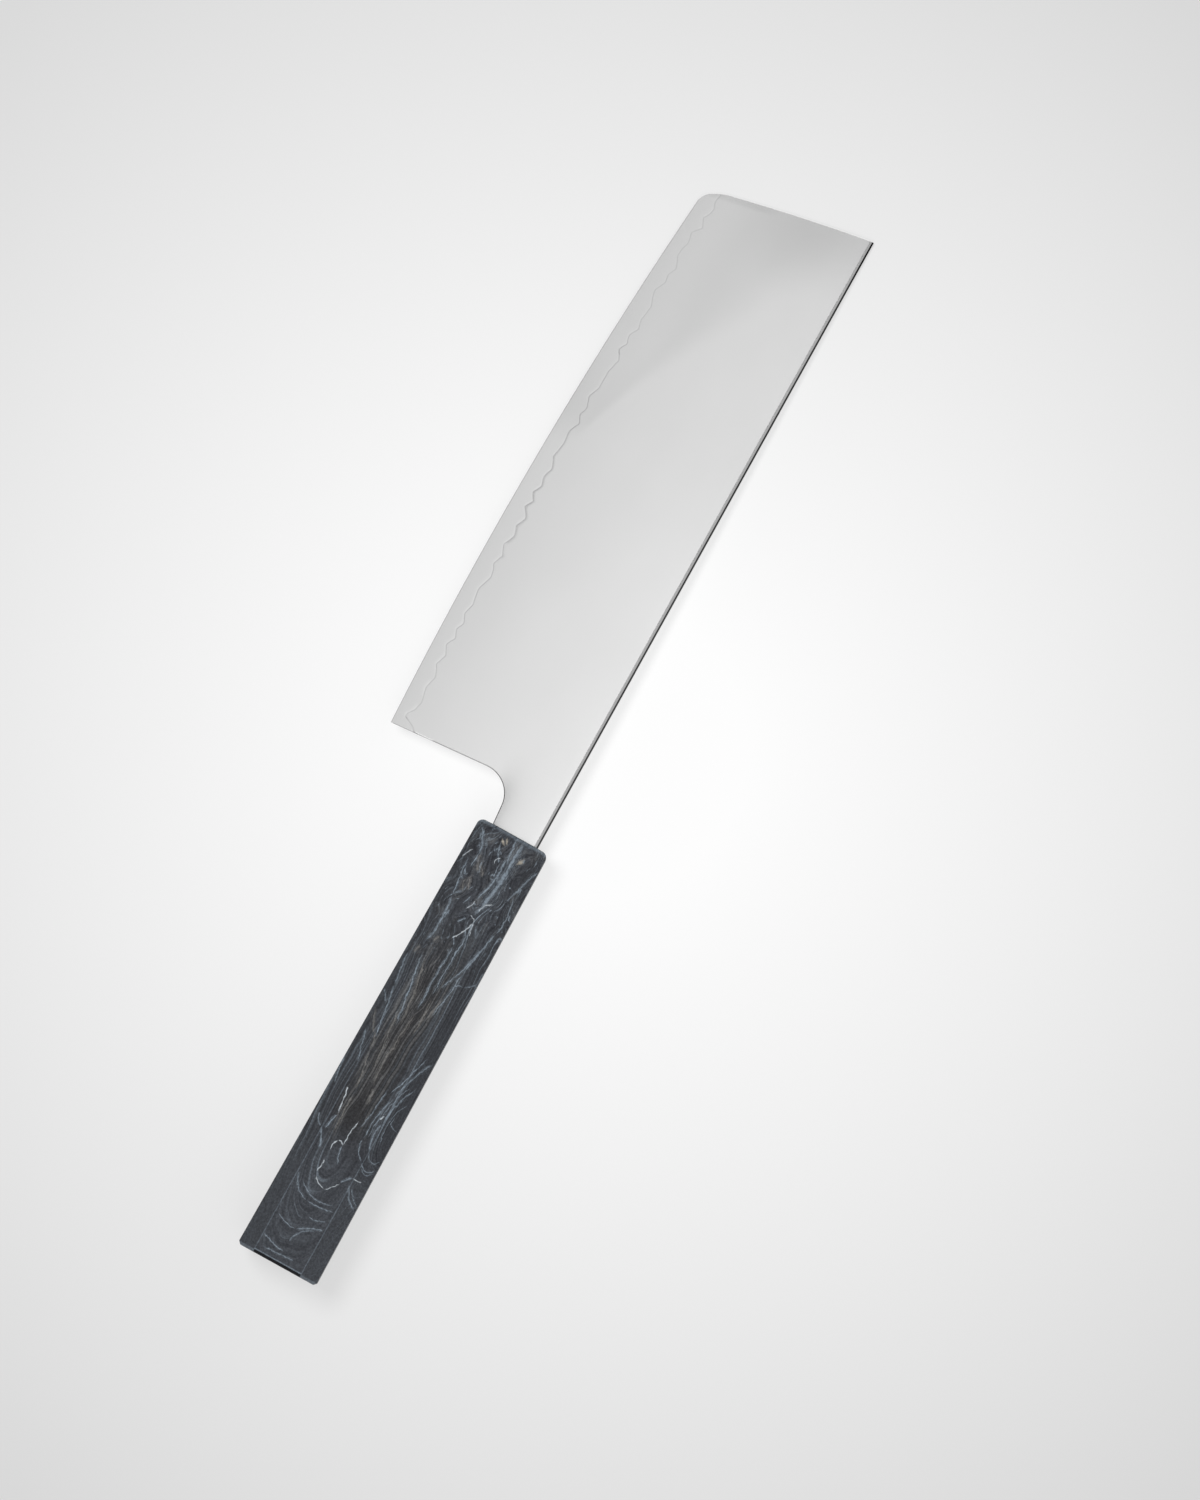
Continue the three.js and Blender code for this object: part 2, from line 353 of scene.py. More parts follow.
def makeSatinAndShade():
    # fine scratches that run across the blade, a slow drift in tone, and the painted shades and highlight
    # of tip, neck and spine
    group, take, give = newGroup(
        "satinGrainAndShade",
        {"Place": "Vector", "Fine": "Float", "Drift": "Float"},
        {"Tone": "Float", "Height": "Float"},
    )
    lines = cloud(group, stretch(group, take["Place"], satin["lines"]), detail=3.0, rough=0.6)[0]
    hairs = cloud(group, stretch(group, take["Place"], satin["hairs"]))[0]
    drift = cloud(group, stretch(group, take["Place"], satin["drift"]))[0]
    fine = calc(group, "SUBTRACT", calc(group, "ADD", lines, hairs), 1.0)
    slow = calc(group, "SUBTRACT", drift, 0.5)
    tone = calc(group, "MULTIPLY_ADD", slow, take["Drift"], times(group, fine, take["Fine"]))
    x, y, _ = split(group, take["Place"])
    shade = calc(group, "ADD", shadeTip(group, x, y), shadeNeck(group, x, y))
    shade = calc(group, "MULTIPLY_ADD", onSpine(group, y), spineShade["tone"], shade)
    group.links.new(calc(group, "ADD", tone, shade), give["Tone"])
    group.links.new(fine, give["Height"])
    return group


satinGrainAndShade = makeSatinAndShade()


def makeSteel(name, look):
    material, tree = newMaterial(name)
    sockets = {"Place": levelPlace(tree), "Fine": look["fine"], "Drift": look["drift"]}
    grain = put(tree, "ShaderNodeGroup", sockets, node_tree=satinGrainAndShade)
    # the painted rim shade and the weld line's tone darken the steel, and the group's tone carries the
    # painted shades
    rimShadeAndWeldLine = put(tree, "ShaderNodeAttribute", attribute_name="rimShadeAndWeldLine").outputs["Fac"]
    tone = calc(tree, "SUBTRACT", grain.outputs["Tone"], rimShadeAndWeldLine)
    colour = scaled(tree, look["colour"], calc(tree, "ADD", 1.0, tone))
    roughness = calc(tree, "MULTIPLY_ADD", grain.outputs["Tone"], satin["gloss"], look["rough"])
    bump = ripple(tree, grain.outputs["Height"], look["bump"], satin["bumpDepth"])
    finishMaterial(tree, {"Base Color": colour, "Roughness": roughness, "Metallic": 1.0, "Normal": bump})
    return material


# Marbled plastic

marble = dict(
    # black is only the painted shade on the butt's bevel; paleBlue is the veins' and hairs' own colour,
    # and also the painted highlights on the edges
    black=(0.004, 0.004, 0.005, 1),
    slateDark=(0.026, 0.027, 0.032, 1),
    slate=(0.056, 0.061, 0.070, 1),
    slateBlue=(0.105, 0.122, 0.142, 1),
    brown=(0.030, 0.0298, 0.0318, 1),
    smoke=(0.135, 0.138, 0.142, 1),
    beige=(0.195, 0.189, 0.180, 1),
    paleBlue=(0.24, 0.29, 0.34, 1),
    white=(0.53, 0.58, 0.62, 1),
    cream=(0.46, 0.42, 0.35, 1),
    mottle=dict(scale=1.6, detail=4.0, rough=0.7),  # a fine mottle in tone, gloss and height
    mottleTone=(0.25, 0.75, 0.62, 1.38),
    mottleGloss=(0.2, 0.8, 0.36, 0.48),
    mottleBump=(0.08, 0.00005),
    sideShade=(6.8, 8.0, 1.0, 0.88),  # painted shade: the slanted facet on the edge's side is a little darker
    specular=0.1,
)

stir = dict(
    front=(-48.0, -18.0),  # the colours are stirred more towards the front, and a little at the butt
    butt=(-102.0, -120.0, 0.0, 0.5),
    slow=((0.024, 0.055, 0.055), (8.0, 4.0, 4.0)),  # pitch and reach of each stir
    quick=((0.09, 0.2, 0.2), (2.0, 1.2, 1.2)),
    wild=((0.075, 0.11, 0.11), (13.0, 9.0, 9.0)),
    torn=((0.2, 0.3, 0.3), (5.0, 4.0, 4.0)),
)

slates = dict(
    fold=dict(y=0.5, x=-96.0, along=0.34, depth=0.55),  # where the folds turn round, and their shape
    sideFold=dict(y=-10.0, x=-88.0, along=0.62, depth=0.55),
    foldJoin=1.4,
    patches=(0.035, 0.12, 0.12),
    bands=(0.7, 5.0, 0.72),  # scale, detail and roughness
    midBands=(0.32, 0.62),
    blueBands=(0.50, 0.72),
    bluePatches=(0.42, 0.64),
    plainSides=(7.0, 7.6, 0.4, 0.85),  # plainer at the butt, most of all on the slanted facets
    plainButt=(-92.0, -108.0),
    coreStart=(-100.0, -86.0),  # a warm core along the middle of the grip
    coreEnd=(-22.0, -52.0),
    coreWidth=(9.5, 6.0),
    coreBands=(0.2, 0.42, 0.35, 1.0),
    hairs=(2.2, 4.0, 0.7),
    paleHairs=(0.52, 0.74),
    palePatches=(0.38, 0.64),
    coreClear=0.7,
    paleToFront=(0.4, 0.75),
    paleOnPlain=(1.0, 0.2),
    smokyHairs=(0.5, 0.32),
    smokyPatches=(0.35, 0.58),
    smokyShare=0.55,
)

streaks = dict(
    pitch=(0.03, 1.5, 1.5),
    shift=(2.2, 0.4, 0.7),
    start=(-84.0, -66.0),  # the bundle begins and ends along the grip, and lies between two lines
    end=(-30.0, -42.0),
    inner=(-0.5, 1.5),
    outer=(7.2, 5.4),
    tone=(0.5, 0.66),
    share=0.6,
)

tears = dict(
    smokePitch=(0.13, 0.3, 0.3),
    smokeShift=(4.1, 2.7, 0.6),
    smoke=(0.5, 0.7),
    smokeShare=0.45,
    strokePitch=(0.2, 1.1, 1.1),
    pale=(0.6, 0.7),
    paleShare=0.7,
    dark=(0.46, 0.34),
    darkShare=0.85,
)

edgeLight = dict(
    soft=0.1,  # how softly one facet's painted light ends at the next
    line=(0.24, 0.06),  # a painted highlight: a thin pale line where the upper and lower facets end, towards the butt
    lineHeight=(6.0, 7.5),
    lineAlong=(-40.0, -85.0),
    lineShare=0.22,
    front=(-1.3, -0.35),  # a painted highlight makes the front's round edge paler, most of all on the slanted facets
    frontEnd=(-0.02, -0.15),
    frontShares=(0.45, 0.6),
    frontBreaks=(0.2, 0.9),
    topRim=(8.0, 9.3),  # the butt's bevel gets painted shade above and below, and a painted highlight on the slanted facets
    topShare=0.9,
    sideRim=(16.0, 16.4),
    sideShare=0.3,
    buttLineAt=0.2,  # and a painted highlight, a pale line, lies in front of the dark
    buttLine=(0.26, 0.06),
    buttShare=0.45,
)

veinShape = dict(
    slant=(0.8, 0.35, 0.0),  # veins are drawn from above, and slant below the upper facets
    ragged=(((0.3, 0.4, 0.05), (0.8, 0.8, 0.0)), ((0.9, 1.3, 0.2), (0.5, 0.7, 0.0))),  # pitch and reach
    breakPitch=(0.5, 1.6, 1.0),
    breaks=(0.3, 0.56, 0.4, 1.0),
    overrun=-0.03,  # the ends fade from this share of the length
    endWidth=0.3,  # and are this share as wide
    soft=0.8,
    strands=(3.2, 2.0, 0.6),  # scale, detail and roughness of the fine strands beside a vein
    strandSeed=(3.7, 5.1, 0.0),
    strandTone=(0.42, 0.62),
    strandSoft=0.9,
)

# opacity, taper, and how far and how strongly strands lie beside a vein
veinLook = dict(
    beige=(0.62, 0.25, 4.5, 0.6),
    paleBlue=(0.75, 0.15, 4.0, 0.42),
    cream=(0.8, 0.5, 1.4, 0.4),
    white=(0.85, 0.18, 2.0, 0.3),
)

# veins: x and y of the start, of a point on the way and of the end, and half the width
veins = dict(
    white=(
        (-105.5, 2.7, -103.1, 2.3, -100.9, 2.3, 0.19),
        (-98.4, 2.4, -96.5, 2.3, -95.1, 1.7, 0.20),
        (-95.1, 1.7, -95.0, 0.8, -96.0, -0.1, 0.22),
        (-96.0, -0.1, -91.7, -0.3, -87.7, -0.7, 0.14),
        (-106.3, 2.2, -107.7, 0.8, -108.6, -1.4, 0.19),
        (-108.6, -1.4, -107.0, -3.0, -105.0, -4.5, 0.15),
        (-102.1, -6.9, -102.3, -8.0, -102.0, -9.5, 0.17),
        (-89.1, 5.2, -85.0, 5.7, -81.2, 6.4, 0.19),
        (-83.0, 6.1, -82.0, 6.3, -81.2, 6.4, 0.29),
        (-84.9, -5.5, -84.2, -5.7, -83.2, -6.0, 0.22),
        (-32.9, 1.7, -30.0, -0.2, -26.2, -1.8, 0.20),
        (-30.0, -2.7, -27.6, -2.1, -26.0, -1.8, 0.20),
        (-26.2, -1.8, -24.8, -0.9, -24.5, 0.0, 0.17),
        (-23.6, 2.1, -22.4, 1.0, -20.5, 0.7, 0.19),
        (-22.9, -1.7, -20.2, -2.5, -19.3, -4.3, 0.24),
        (-9.5, 1.2, -8.1, 1.2, -7.1, -0.2, 0.17),
        (-11.9, 9.8, -10.0, 8.9, -8.6, 7.9, 0.20),
    ),
    paleBlue=(
        (-126.7, 7.1, -127.8, 3.8, -128.5, 0.0, 0.17),
        (-130.0, 5.2, -129.7, 0.7, -129.4, -4.0, 0.14),
        (-120.0, 6.0, -121.2, 3.4, -121.7, 0.2, 0.15),
        (-121.7, 0.2, -120.3, -2.3, -118.3, -6.7, 0.18),
        (-125.8, 0.0, -121.9, -1.5, -119.8, -5.0, 0.14),
        (-107.4, 6.9, -111.4, 4.8, -113.4, 1.2, 0.21),
        (-113.4, 1.2, -113.5, -2.6, -112.7, -6.7, 0.21),
        (-108.9, 4.8, -111.9, 0.0, -111.3, -6.0, 0.14),
        (-117.2, -1.4, -117.0, -3.8, -116.0, -6.2, 0.14),
        (-101.0, -1.4, -99.3, -0.6, -96.0, -0.3, 0.18),
        (-105.0, -4.5, -103.4, -5.4, -102.1, -6.9, 0.18),
        (-110.0, -11.2, -107.4, -8.6, -104.0, -6.9, 0.18),
        (-108.9, -11.4, -106.4, -9.2, -104.6, -8.0, 0.14),
        (-99.8, 5.2, -96.5, 6.2, -94.1, 7.6, 0.26),
        (-94.1, 7.6, -92.9, 8.9, -90.8, 9.7, 0.20),
        (-94.1, 6.4, -91.7, 5.9, -89.3, 5.2, 0.24),
        (-82.2, 10.0, -77.9, 11.0, -74.0, 11.3, 0.20),
        (-74.1, 7.4, -69.3, 8.6, -64.6, 9.8, 0.22),
        (-97.4, -11.2, -98.9, -8.8, -97.2, -6.7, 0.18),
        (-97.2, -6.7, -95.3, -4.8, -91.7, -4.1, 0.18),
        (-91.7, -4.1, -84.6, -4.4, -77.9, -6.0, 0.17),
        (-77.9, -6.0, -71.2, -7.8, -64.6, -10.7, 0.17),
        (-98.3, -11.0, -99.7, -9.2, -98.6, -7.4, 0.10),
        (-94.6, -11.2, -96.2, -9.2, -94.1, -7.4, 0.14),
        (-94.1, -7.4, -90.3, -6.2, -85.5, -6.6, 0.14),
        (-85.5, -6.6, -78.9, -7.7, -72.7, -10.2, 0.14),
        (-85.5, -11.2, -85.2, -9.6, -82.2, -9.0, 0.11),
        (-91.0, -5.0, -82.0, -5.8, -72.7, -8.8, 0.11),
        (-91.5, -8.9, -86.0, -8.0, -77.0, -10.4, 0.10),
        (-77.9, -4.4, -71.2, -6.7, -64.1, -8.8, 0.13),
        (-89.8, -1.8, -83.6, -2.9, -76.5, -3.4, 0.13),
        (-66.4, 6.4, -59.0, 7.5, -51.0, 8.8, 0.28),
        (-51.0, 8.8, -46.2, 9.4, -41.2, 10.0, 0.24),
        (-56.2, 8.8, -54.6, 9.8, -52.9, 10.8, 0.18),
        (-54.3, -0.1, -43.3, 0.1, -33.8, -0.3, 0.26),
        (-49.0, -1.7, -40.5, -1.5, -29.0, -2.1, 0.24),
        (-54.3, -4.0, -48.6, -5.0, -39.5, -6.0, 0.24),
        (-46.2, -2.4, -39.5, -5.2, -31.9, -7.1, 0.20),
        (-39.5, -6.0, -33.8, -6.9, -25.7, -8.6, 0.32),
        (-25.7, -8.6, -20.0, -9.0, -14.8, -7.9, 0.20),
        (-17.6, -6.4, -11.9, -8.3, -5.7, -9.8, 0.20),
        (-45.7, -5.0, -43.2, -6.0, -42.6, -7.9, 0.13),
        (-42.6, -7.9, -41.6, -9.4, -40.2, -10.7, 0.13),
        (-60.5, 3.1, -49.5, 4.8, -39.5, 6.4, 0.34),
        (-36.7, 7.1, -29.0, 6.2, -22.4, 6.7, 0.40),
        (-22.4, 6.7, -16.7, 7.6, -11.0, 7.9, 0.26),
        (-28.1, 2.1, -26.9, 1.3, -25.7, 0.7, 0.22),
        (-33.8, -0.2, -32.9, 0.7, -31.6, 1.4, 0.20),
        (-20.5, 0.7, -16.2, -0.7, -10.0, -1.4, 0.30),
        (-24.3, -1.2, -12.9, -2.8, -0.2, -3.1, 0.75),
        (-13.8, -2.1, -11.0, -1.4, -6.7, -1.4, 0.26),
        (-8.1, -2.1, -3.8, -1.4, 0.4, -1.4, 0.30),
        (-8.6, -0.2, -7.2, 0.9, -4.3, 1.9, 0.26),
        (-8.1, 6.0, -4.3, 7.4, -1.9, 9.0, 0.30),
        (-13.3, 6.4, -10.5, 6.1, -6.7, 6.4, 0.24),
    ),
    beige=(
        (-81.2, 4.0, -75.5, 4.9, -69.8, 6.0, 0.32),
        (-69.8, 6.0, -67.0, 6.5, -64.1, 7.4, 0.28),
        (-83.4, -0.2, -80.6, -0.3, -77.9, 0.2, 0.26),
        (-78.4, 0.5, -71.7, 1.1, -64.1, 0.8, 0.32),
        (-94.6, 3.8, -88.4, 4.1, -81.2, 4.0, 0.28),
        (-70.0, 0.8, -62.4, 0.6, -54.3, -0.1, 0.30),
        (-61.0, -2.2, -54.3, -2.2, -49.0, -1.7, 0.30),
        (-56.7, -3.1, -51.0, -4.0, -47.6, -5.0, 0.30),
        (-65.7, 7.1, -62.4, 8.8, -58.3, 10.6, 0.28),
        (-60.5, 2.1, -50.0, 3.1, -39.5, 5.5, 0.34),
        (-76.0, 2.4, -66.0, 3.4, -54.0, 4.6, 0.26),
        (-13.8, 3.1, -11.4, 4.8, -8.1, 5.7, 0.42),
        (-14.3, 2.1, -12.4, 3.1, -11.0, 4.5, 0.34),
        (-20.5, 4.5, -19.0, 5.6, -16.2, 6.0, 0.30),
        (-19.5, 3.3, -17.1, 4.7, -14.8, 4.8, 0.26),
        (-35.7, 5.2, -34.6, 4.8, -33.6, 4.2, 0.30),
        (-41.0, 8.6, -39.5, 8.2, -38.0, 8.0, 0.50),
    ),
    cream=(
        (-4.0, 0.7, -3.0, 1.9, -2.0, 2.4, 0.50),
        (-3.8, 0.4, -2.5, 0.9, -1.3, 1.3, 0.45),
        (-7.0, -4.3, -5.8, -4.9, -4.0, -5.6, 0.75),
    ),
)


def foldDistance(tree, apart, fold):
    # how far a point lies from a ray that runs forward from the fold
    across = calc(tree, "SUBTRACT", apart[1], fold["y"])
    behind = calc(tree, "MAXIMUM", calc(tree, "SUBTRACT", fold["x"], apart[0]), 0.0)
    behind = times(tree, behind, fold["along"])
    depth = times(tree, apart[2], fold["depth"])
    return vectorCalc(tree, "LENGTH", join(tree, across, behind, depth), output="Value")


def drag(tree, vector, pitch, reach):
    # moves a place about by a noise, as stirring drags the colours
    swirl = cloud(tree, stretch(tree, vector, pitch), detail=1.5)["Color"]
    centred = vectorCalc(tree, "SUBTRACT", swirl, (0.5, 0.5, 0.5))
    return vectorCalc(tree, "MULTIPLY_ADD", centred, reach, vector)


def strata(tree, value, scale, detail, rough):
    sockets = {"W": value, "Scale": scale, "Detail": detail, "Roughness": rough}
    return put(tree, "ShaderNodeTexNoise", sockets, noise_dimensions="1D").outputs[0]


def paint(tree, colour, tint, *masks):
    return blend(tree, times(tree, *masks), colour, marble[tint])


def makeVein():
    # draws a bowed line with strands beside it, tapered at both ends, into the third part of a place
    inputs = {"Place": "Vector", "Start": "Vector", "End": "Vector"}
    inputs.update((label, "Float") for label in ("Bow", "Width", "Taper", "Spread", "Strands"))
    group, take, give = newGroup("vein", inputs, {"Drawn": "Vector"})
    run = vectorCalc(group, "SUBTRACT", take["End"], take["Start"])
    length = vectorCalc(group, "LENGTH", run, output="Value")
    unit = vectorCalc(group, "NORMALIZE", run)
    apart = vectorCalc(group, "SUBTRACT", take["Place"], take["Start"])
    along = calc(group, "DIVIDE", vectorCalc(group, "DOT_PRODUCT", apart, unit, output="Value"), length)
    left = calc(group, "SUBTRACT", 1.0, along)
    side = split(group, vectorCalc(group, "CROSS_PRODUCT", unit, apart))[2]
    aside = calc(group, "SUBTRACT", side, times(group, along, left, 4.0, take["Bow"]))
    off = calc(group, "ABSOLUTE", aside)
    starting, ending = (span(group, value, veinShape["overrun"], take["Taper"]) for value in (along, left))
    ends = times(group, starting, ending)
    endWidth = veinShape["endWidth"]
    width = times(group, take["Width"], calc(group, "MULTIPLY_ADD", ends, 1 - endWidth, endWidth))
    near = calc(group, "SUBTRACT", 1.0, calc(group, "DIVIDE", off, width))
    line = times(group, span(group, near, 0.0, veinShape["soft"]), ends)
    beside = calc(group, "SUBTRACT", 1.0, calc(group, "DIVIDE", off, times(group, width, take["Spread"])))
    seed = vectorCalc(group, "DOT_PRODUCT", take["Start"], veinShape["strandSeed"], output="Value")
    strands = strata(group, calc(group, "ADD", aside, seed), *veinShape["strands"])
    strands = times(group, span(group, strands, *veinShape["strandTone"]), ends, take["Strands"])
    strands = times(group, strands, span(group, beside, 0.0, veinShape["strandSoft"]))
    line = calc(group, "MAXIMUM", line, strands)
    x, y, before = split(group, take["Place"])
    group.links.new(join(group, x, y, calc(group, "MAXIMUM", before, line)), give["Drawn"])
    return group


vein = makeVein()


def drawVeins(tree, spot, rows, look):
    for startX, startY, wayX, wayY, endX, endY, width in rows:
        start = Vector((startX, startY, 0))
        end = Vector((endX, endY, 0))
        run = end - start
        way = Vector((wayX, wayY, 0)) - start
        along = way.dot(run) / run.length_squared
        bow = run.cross(way).z / run.length / (4 * along * (1 - along))
        sockets = {"Place": spot, "Start": start, "End": end, "Bow": bow, "Width": width}
        sockets.update(zip(("Taper", "Spread", "Strands"), look))
        spot = put(tree, "ShaderNodeGroup", sockets, node_tree=vein).outputs["Drawn"]
    return split(tree, spot)[2]


def stirColours(tree, level, x, toFront):
    stirred = drag(tree, level, *stir["slow"])
    stirred = drag(tree, stirred, *stir["quick"])
    wild = drag(tree, stirred, *stir["wild"])
    share = calc(tree, "MAXIMUM", toFront, span(tree, x, *stir["butt"]))
    stirred = put(tree, "ShaderNodeMix", {0: share, 4: stirred, 5: wild}, data_type="VECTOR").outputs[1]
    return stirred, wild


def laySlate(tree, stirred, x, y, toFront):
    # bands that follow the folds
    moved = split(tree, stirred)
    main = foldDistance(tree, moved, slates["fold"])
    side = foldDistance(tree, moved, slates["sideFold"])
    fold = calc(tree, "SMOOTH_MIN", main, side, slates["foldJoin"])
    patches = cloud(tree, stretch(tree, stirred, slates["patches"]), detail=3.0)[0]
    bands = strata(tree, fold, *slates["bands"])
    colour = blend(tree, span(tree, bands, *slates["midBands"]), marble["slateDark"], marble["slate"])
    blue = span(tree, bands, *slates["blueBands"])
    colour = paint(tree, colour, "slateBlue", blue, span(tree, patches, *slates["bluePatches"]))
    plain = span(tree, calc(tree, "ABSOLUTE", y), *slates["plainSides"])
    plain = times(tree, plain, span(tree, x, *slates["plainButt"]))
    colour = paint(tree, colour, "slate", plain)

    # the warm core
    along = moved[0]
    warm = times(tree, span(tree, along, *slates["coreStart"]), span(tree, along, *slates["coreEnd"]))
    warm = times(tree, warm, span(tree, main, *slates["coreWidth"]))
    warm = times(tree, warm, span(tree, bands, *slates["coreBands"]))
    colour = paint(tree, colour, "brown", warm)

    # hair lines along the folds
    hairs = strata(tree, fold, *slates["hairs"])
    cool = calc(tree, "MULTIPLY_ADD", warm, -slates["coreClear"], 1.0)
    pale = times(tree, span(tree, hairs, *slates["paleHairs"]), cool)
    pale = times(tree, pale, span(tree, patches, *slates["palePatches"]))
    pale = times(tree, pale, span(tree, toFront, 0.0, 1.0, *slates["paleToFront"]))
    pale = times(tree, pale, span(tree, plain, 0.0, 1.0, *slates["paleOnPlain"]))
    colour = paint(tree, colour, "paleBlue", pale)
    smoky = times(tree, span(tree, hairs, *slates["smokyHairs"]), warm)
    smoky = times(tree, smoky, span(tree, patches, *slates["smokyPatches"]))
    return paint(tree, colour, "smoke", smoky, slates["smokyShare"])


def layStreaks(tree, colour, stirred, x, y):
    # a bundle of fine grey streaks beside the core
    fine = stretch(tree, stirred, streaks["pitch"], streaks["shift"])
    lines = cloud(tree, fine, detail=3.0, rough=0.6)[0]
    bundle = times(tree, span(tree, x, *streaks["start"]), span(tree, x, *streaks["end"]))
    bundle = times(tree, bundle, span(tree, y, *streaks["inner"]), span(tree, y, *streaks["outer"]))
    return paint(tree, colour, "smoke", bundle, span(tree, lines, *streaks["tone"]), streaks["share"])


def tearFront(tree, colour, wild, toFront):
    # smoke and short strokes in the front, where the colours are torn
    smoke = stretch(tree, wild, tears["smokePitch"], tears["smokeShift"])
    smoke = span(tree, cloud(tree, smoke, detail=4.0, rough=0.62)[0], *tears["smoke"])
    colour = paint(tree, colour, "smoke", smoke, toFront, tears["smokeShare"])
    torn = drag(tree, wild, *stir["torn"])
    strokes = cloud(tree, stretch(tree, torn, tears["strokePitch"]), detail=3.0, rough=0.6)[0]
    pale = span(tree, strokes, *tears["pale"])
    colour = paint(tree, colour, "paleBlue", pale, toFront, tears["paleShare"])
    dark = span(tree, strokes, *tears["dark"])
    return paint(tree, colour, "slateDark", dark, toFront, tears["darkShare"])


def layVeins(tree, colour, level, z):
    # veins, a little ragged and broken
    depth = calc(tree, "MAXIMUM", calc(tree, "SUBTRACT", handle["side"] / 2, z), 0.0)
    spot = vectorCalc(tree, "SUBTRACT", level, scaled(tree, veinShape["slant"], depth))
    for pitch, reach in veinShape["ragged"]:
        spot = drag(tree, spot, pitch, reach)
    spot = vectorCalc(tree, "MULTIPLY", spot, (1, 1, 0))
    broken = cloud(tree, stretch(tree, spot, veinShape["breakPitch"]), detail=4.0, rough=0.65)[0]
    broken = span(tree, broken, *veinShape["breaks"])
    for tint, (opacity, *look) in veinLook.items():
        colour = paint(tree, colour, tint, drawVeins(tree, spot, veins[tint], look), broken, opacity)
    return colour, broken


# painted highlights and shade on the handle's edges and butt bevel, standing in for how their rounds catch
# the light
def paintEdgeLight(tree, colour, x, y, z, broken):
    outY = calc(tree, "ABSOLUTE", y)
    outZ = calc(tree, "ABSOLUTE", z)
    pastFacet = calc(tree, "SUBTRACT", outY, handle["facet"] / 2)
    flat = span(tree, pastFacet, edgeLight["soft"], -edgeLight["soft"])
    slanted = calc(tree, "SUBTRACT", 1.0, flat)

    # painted highlights on the facets' edges and the front
    line = times(tree, span(tree, calc(tree, "ABSOLUTE", pastFacet), *edgeLight["line"]), edgeLight["lineShare"])
    line = times(tree, line, span(tree, outZ, *edgeLight["lineHeight"]), span(tree, x, *edgeLight["lineAlong"]))
    colour = paint(tree, colour, "paleBlue", line)
    frontSheen = times(tree, span(tree, x, *edgeLight["front"]), span(tree, slanted, 0.0, 1.0, *edgeLight["frontShares"]))
    frontSheen = times(tree, frontSheen, span(tree, x, *edgeLight["frontEnd"]), span(tree, broken, *edgeLight["frontBreaks"]))
    colour = paint(tree, colour, "paleBlue", frontSheen)

    # painted shade and highlights on the butt's bevel
    fromButt = calc(tree, "ADD", x, handle["length"] - handle["buttBevel"])
    bevelled = span(tree, fromButt, edgeLight["soft"], -edgeLight["soft"])
    topRim = times(tree, bevelled, flat, span(tree, outZ, *edgeLight["topRim"]))
    colour = paint(tree, colour, "black", topRim, edgeLight["topShare"])
    sideRim = times(tree, bevelled, slanted, span(tree, calc(tree, "ADD", outY, outZ), *edgeLight["sideRim"]))
    colour = paint(tree, colour, "paleBlue", sideRim, edgeLight["sideShare"])
    fromLine = calc(tree, "ABSOLUTE", calc(tree, "SUBTRACT", fromButt, edgeLight["buttLineAt"]))
    buttLine = span(tree, fromLine, *edgeLight["buttLine"])
    return paint(tree, colour, "paleBlue", buttLine, flat, edgeLight["buttShare"])


def makeMarble():
    material, tree = newMaterial("marbledPlastic")
    level = levelPlace(tree)
    x, y, z = split(tree, level)
    toFront = span(tree, x, *stir["front"])
    stirred, wild = stirColours(tree, level, x, toFront)
    colour = laySlate(tree, stirred, x, y, toFront)
    colour = layStreaks(tree, colour, stirred, x, y)
    colour = tearFront(tree, colour, wild, toFront)
    colour, broken = layVeins(tree, colour, level, z)
    colour = paintEdgeLight(tree, colour, x, y, z, broken)
    mottle = cloud(tree, level, **marble["mottle"])[0]
    shade = times(tree, span(tree, mottle, *marble["mottleTone"]), span(tree, y, *marble["sideShade"]))
    sockets = {
        "Base Color": scaled(tree, colour, shade),
        "Roughness": span(tree, mottle, *marble["mottleGloss"]),
        "Normal": ripple(tree, mottle, *marble["mottleBump"]),
        "Specular IOR Level": marble["specular"],
    }
    finishMaterial(tree, sockets)
    return material


# Glues

glues = dict(
    adhesive=dict(
        colour=(0.16, 0.12, 0.07, 1), dark=(0.09, 0.065, 0.04, 1), rough=(0.20, 0.33), grain=0.4,
    ),
    sealant=dict(
        colour=(0.020, 0.022, 0.025, 1), dark=(0.012, 0.013, 0.015, 1), rough=(0.45, 0.58), grain=1.2,
    ),
    darkPatches=(0.35, 0.65),
    dullPatches=(0.3, 0.7),
    bump=(0.2, 0.0001),
)


def makeGlue(name):
    look = glues[name]
    material, tree = newMaterial(name)
    cloudy = cloud(tree, levelPlace(tree), scale=look["grain"], detail=3.0)[0]
    sockets = {
        "Base Color": blend(tree, span(tree, cloudy, *glues["darkPatches"]), look["colour"], look["dark"]),
        "Roughness": span(tree, cloudy, *glues["dullPatches"], *look["rough"]),
        "Normal": ripple(tree, cloudy, *glues["bump"]),
    }
    finishMaterial(tree, sockets)
    return material


claddingSteel = makeSteel("claddingSteel", steels["cladding"])
coreSteel = makeSteel("coreSteel", steels["core"])
marbledPlastic = makeMarble()
adhesive = makeGlue("adhesive")
sealant = makeGlue("sealant")
print("finishes made")


# Mesh helpers

meshing = dict(
    merge=0.0005,  # points closer than this become one
    snap=0.002,  # a cut passes through points this close to it
    touch=0.01,  # points this close to a plane lie on it
    sharp=math.radians(32),  # edges that turn by more than this stay sharp
)


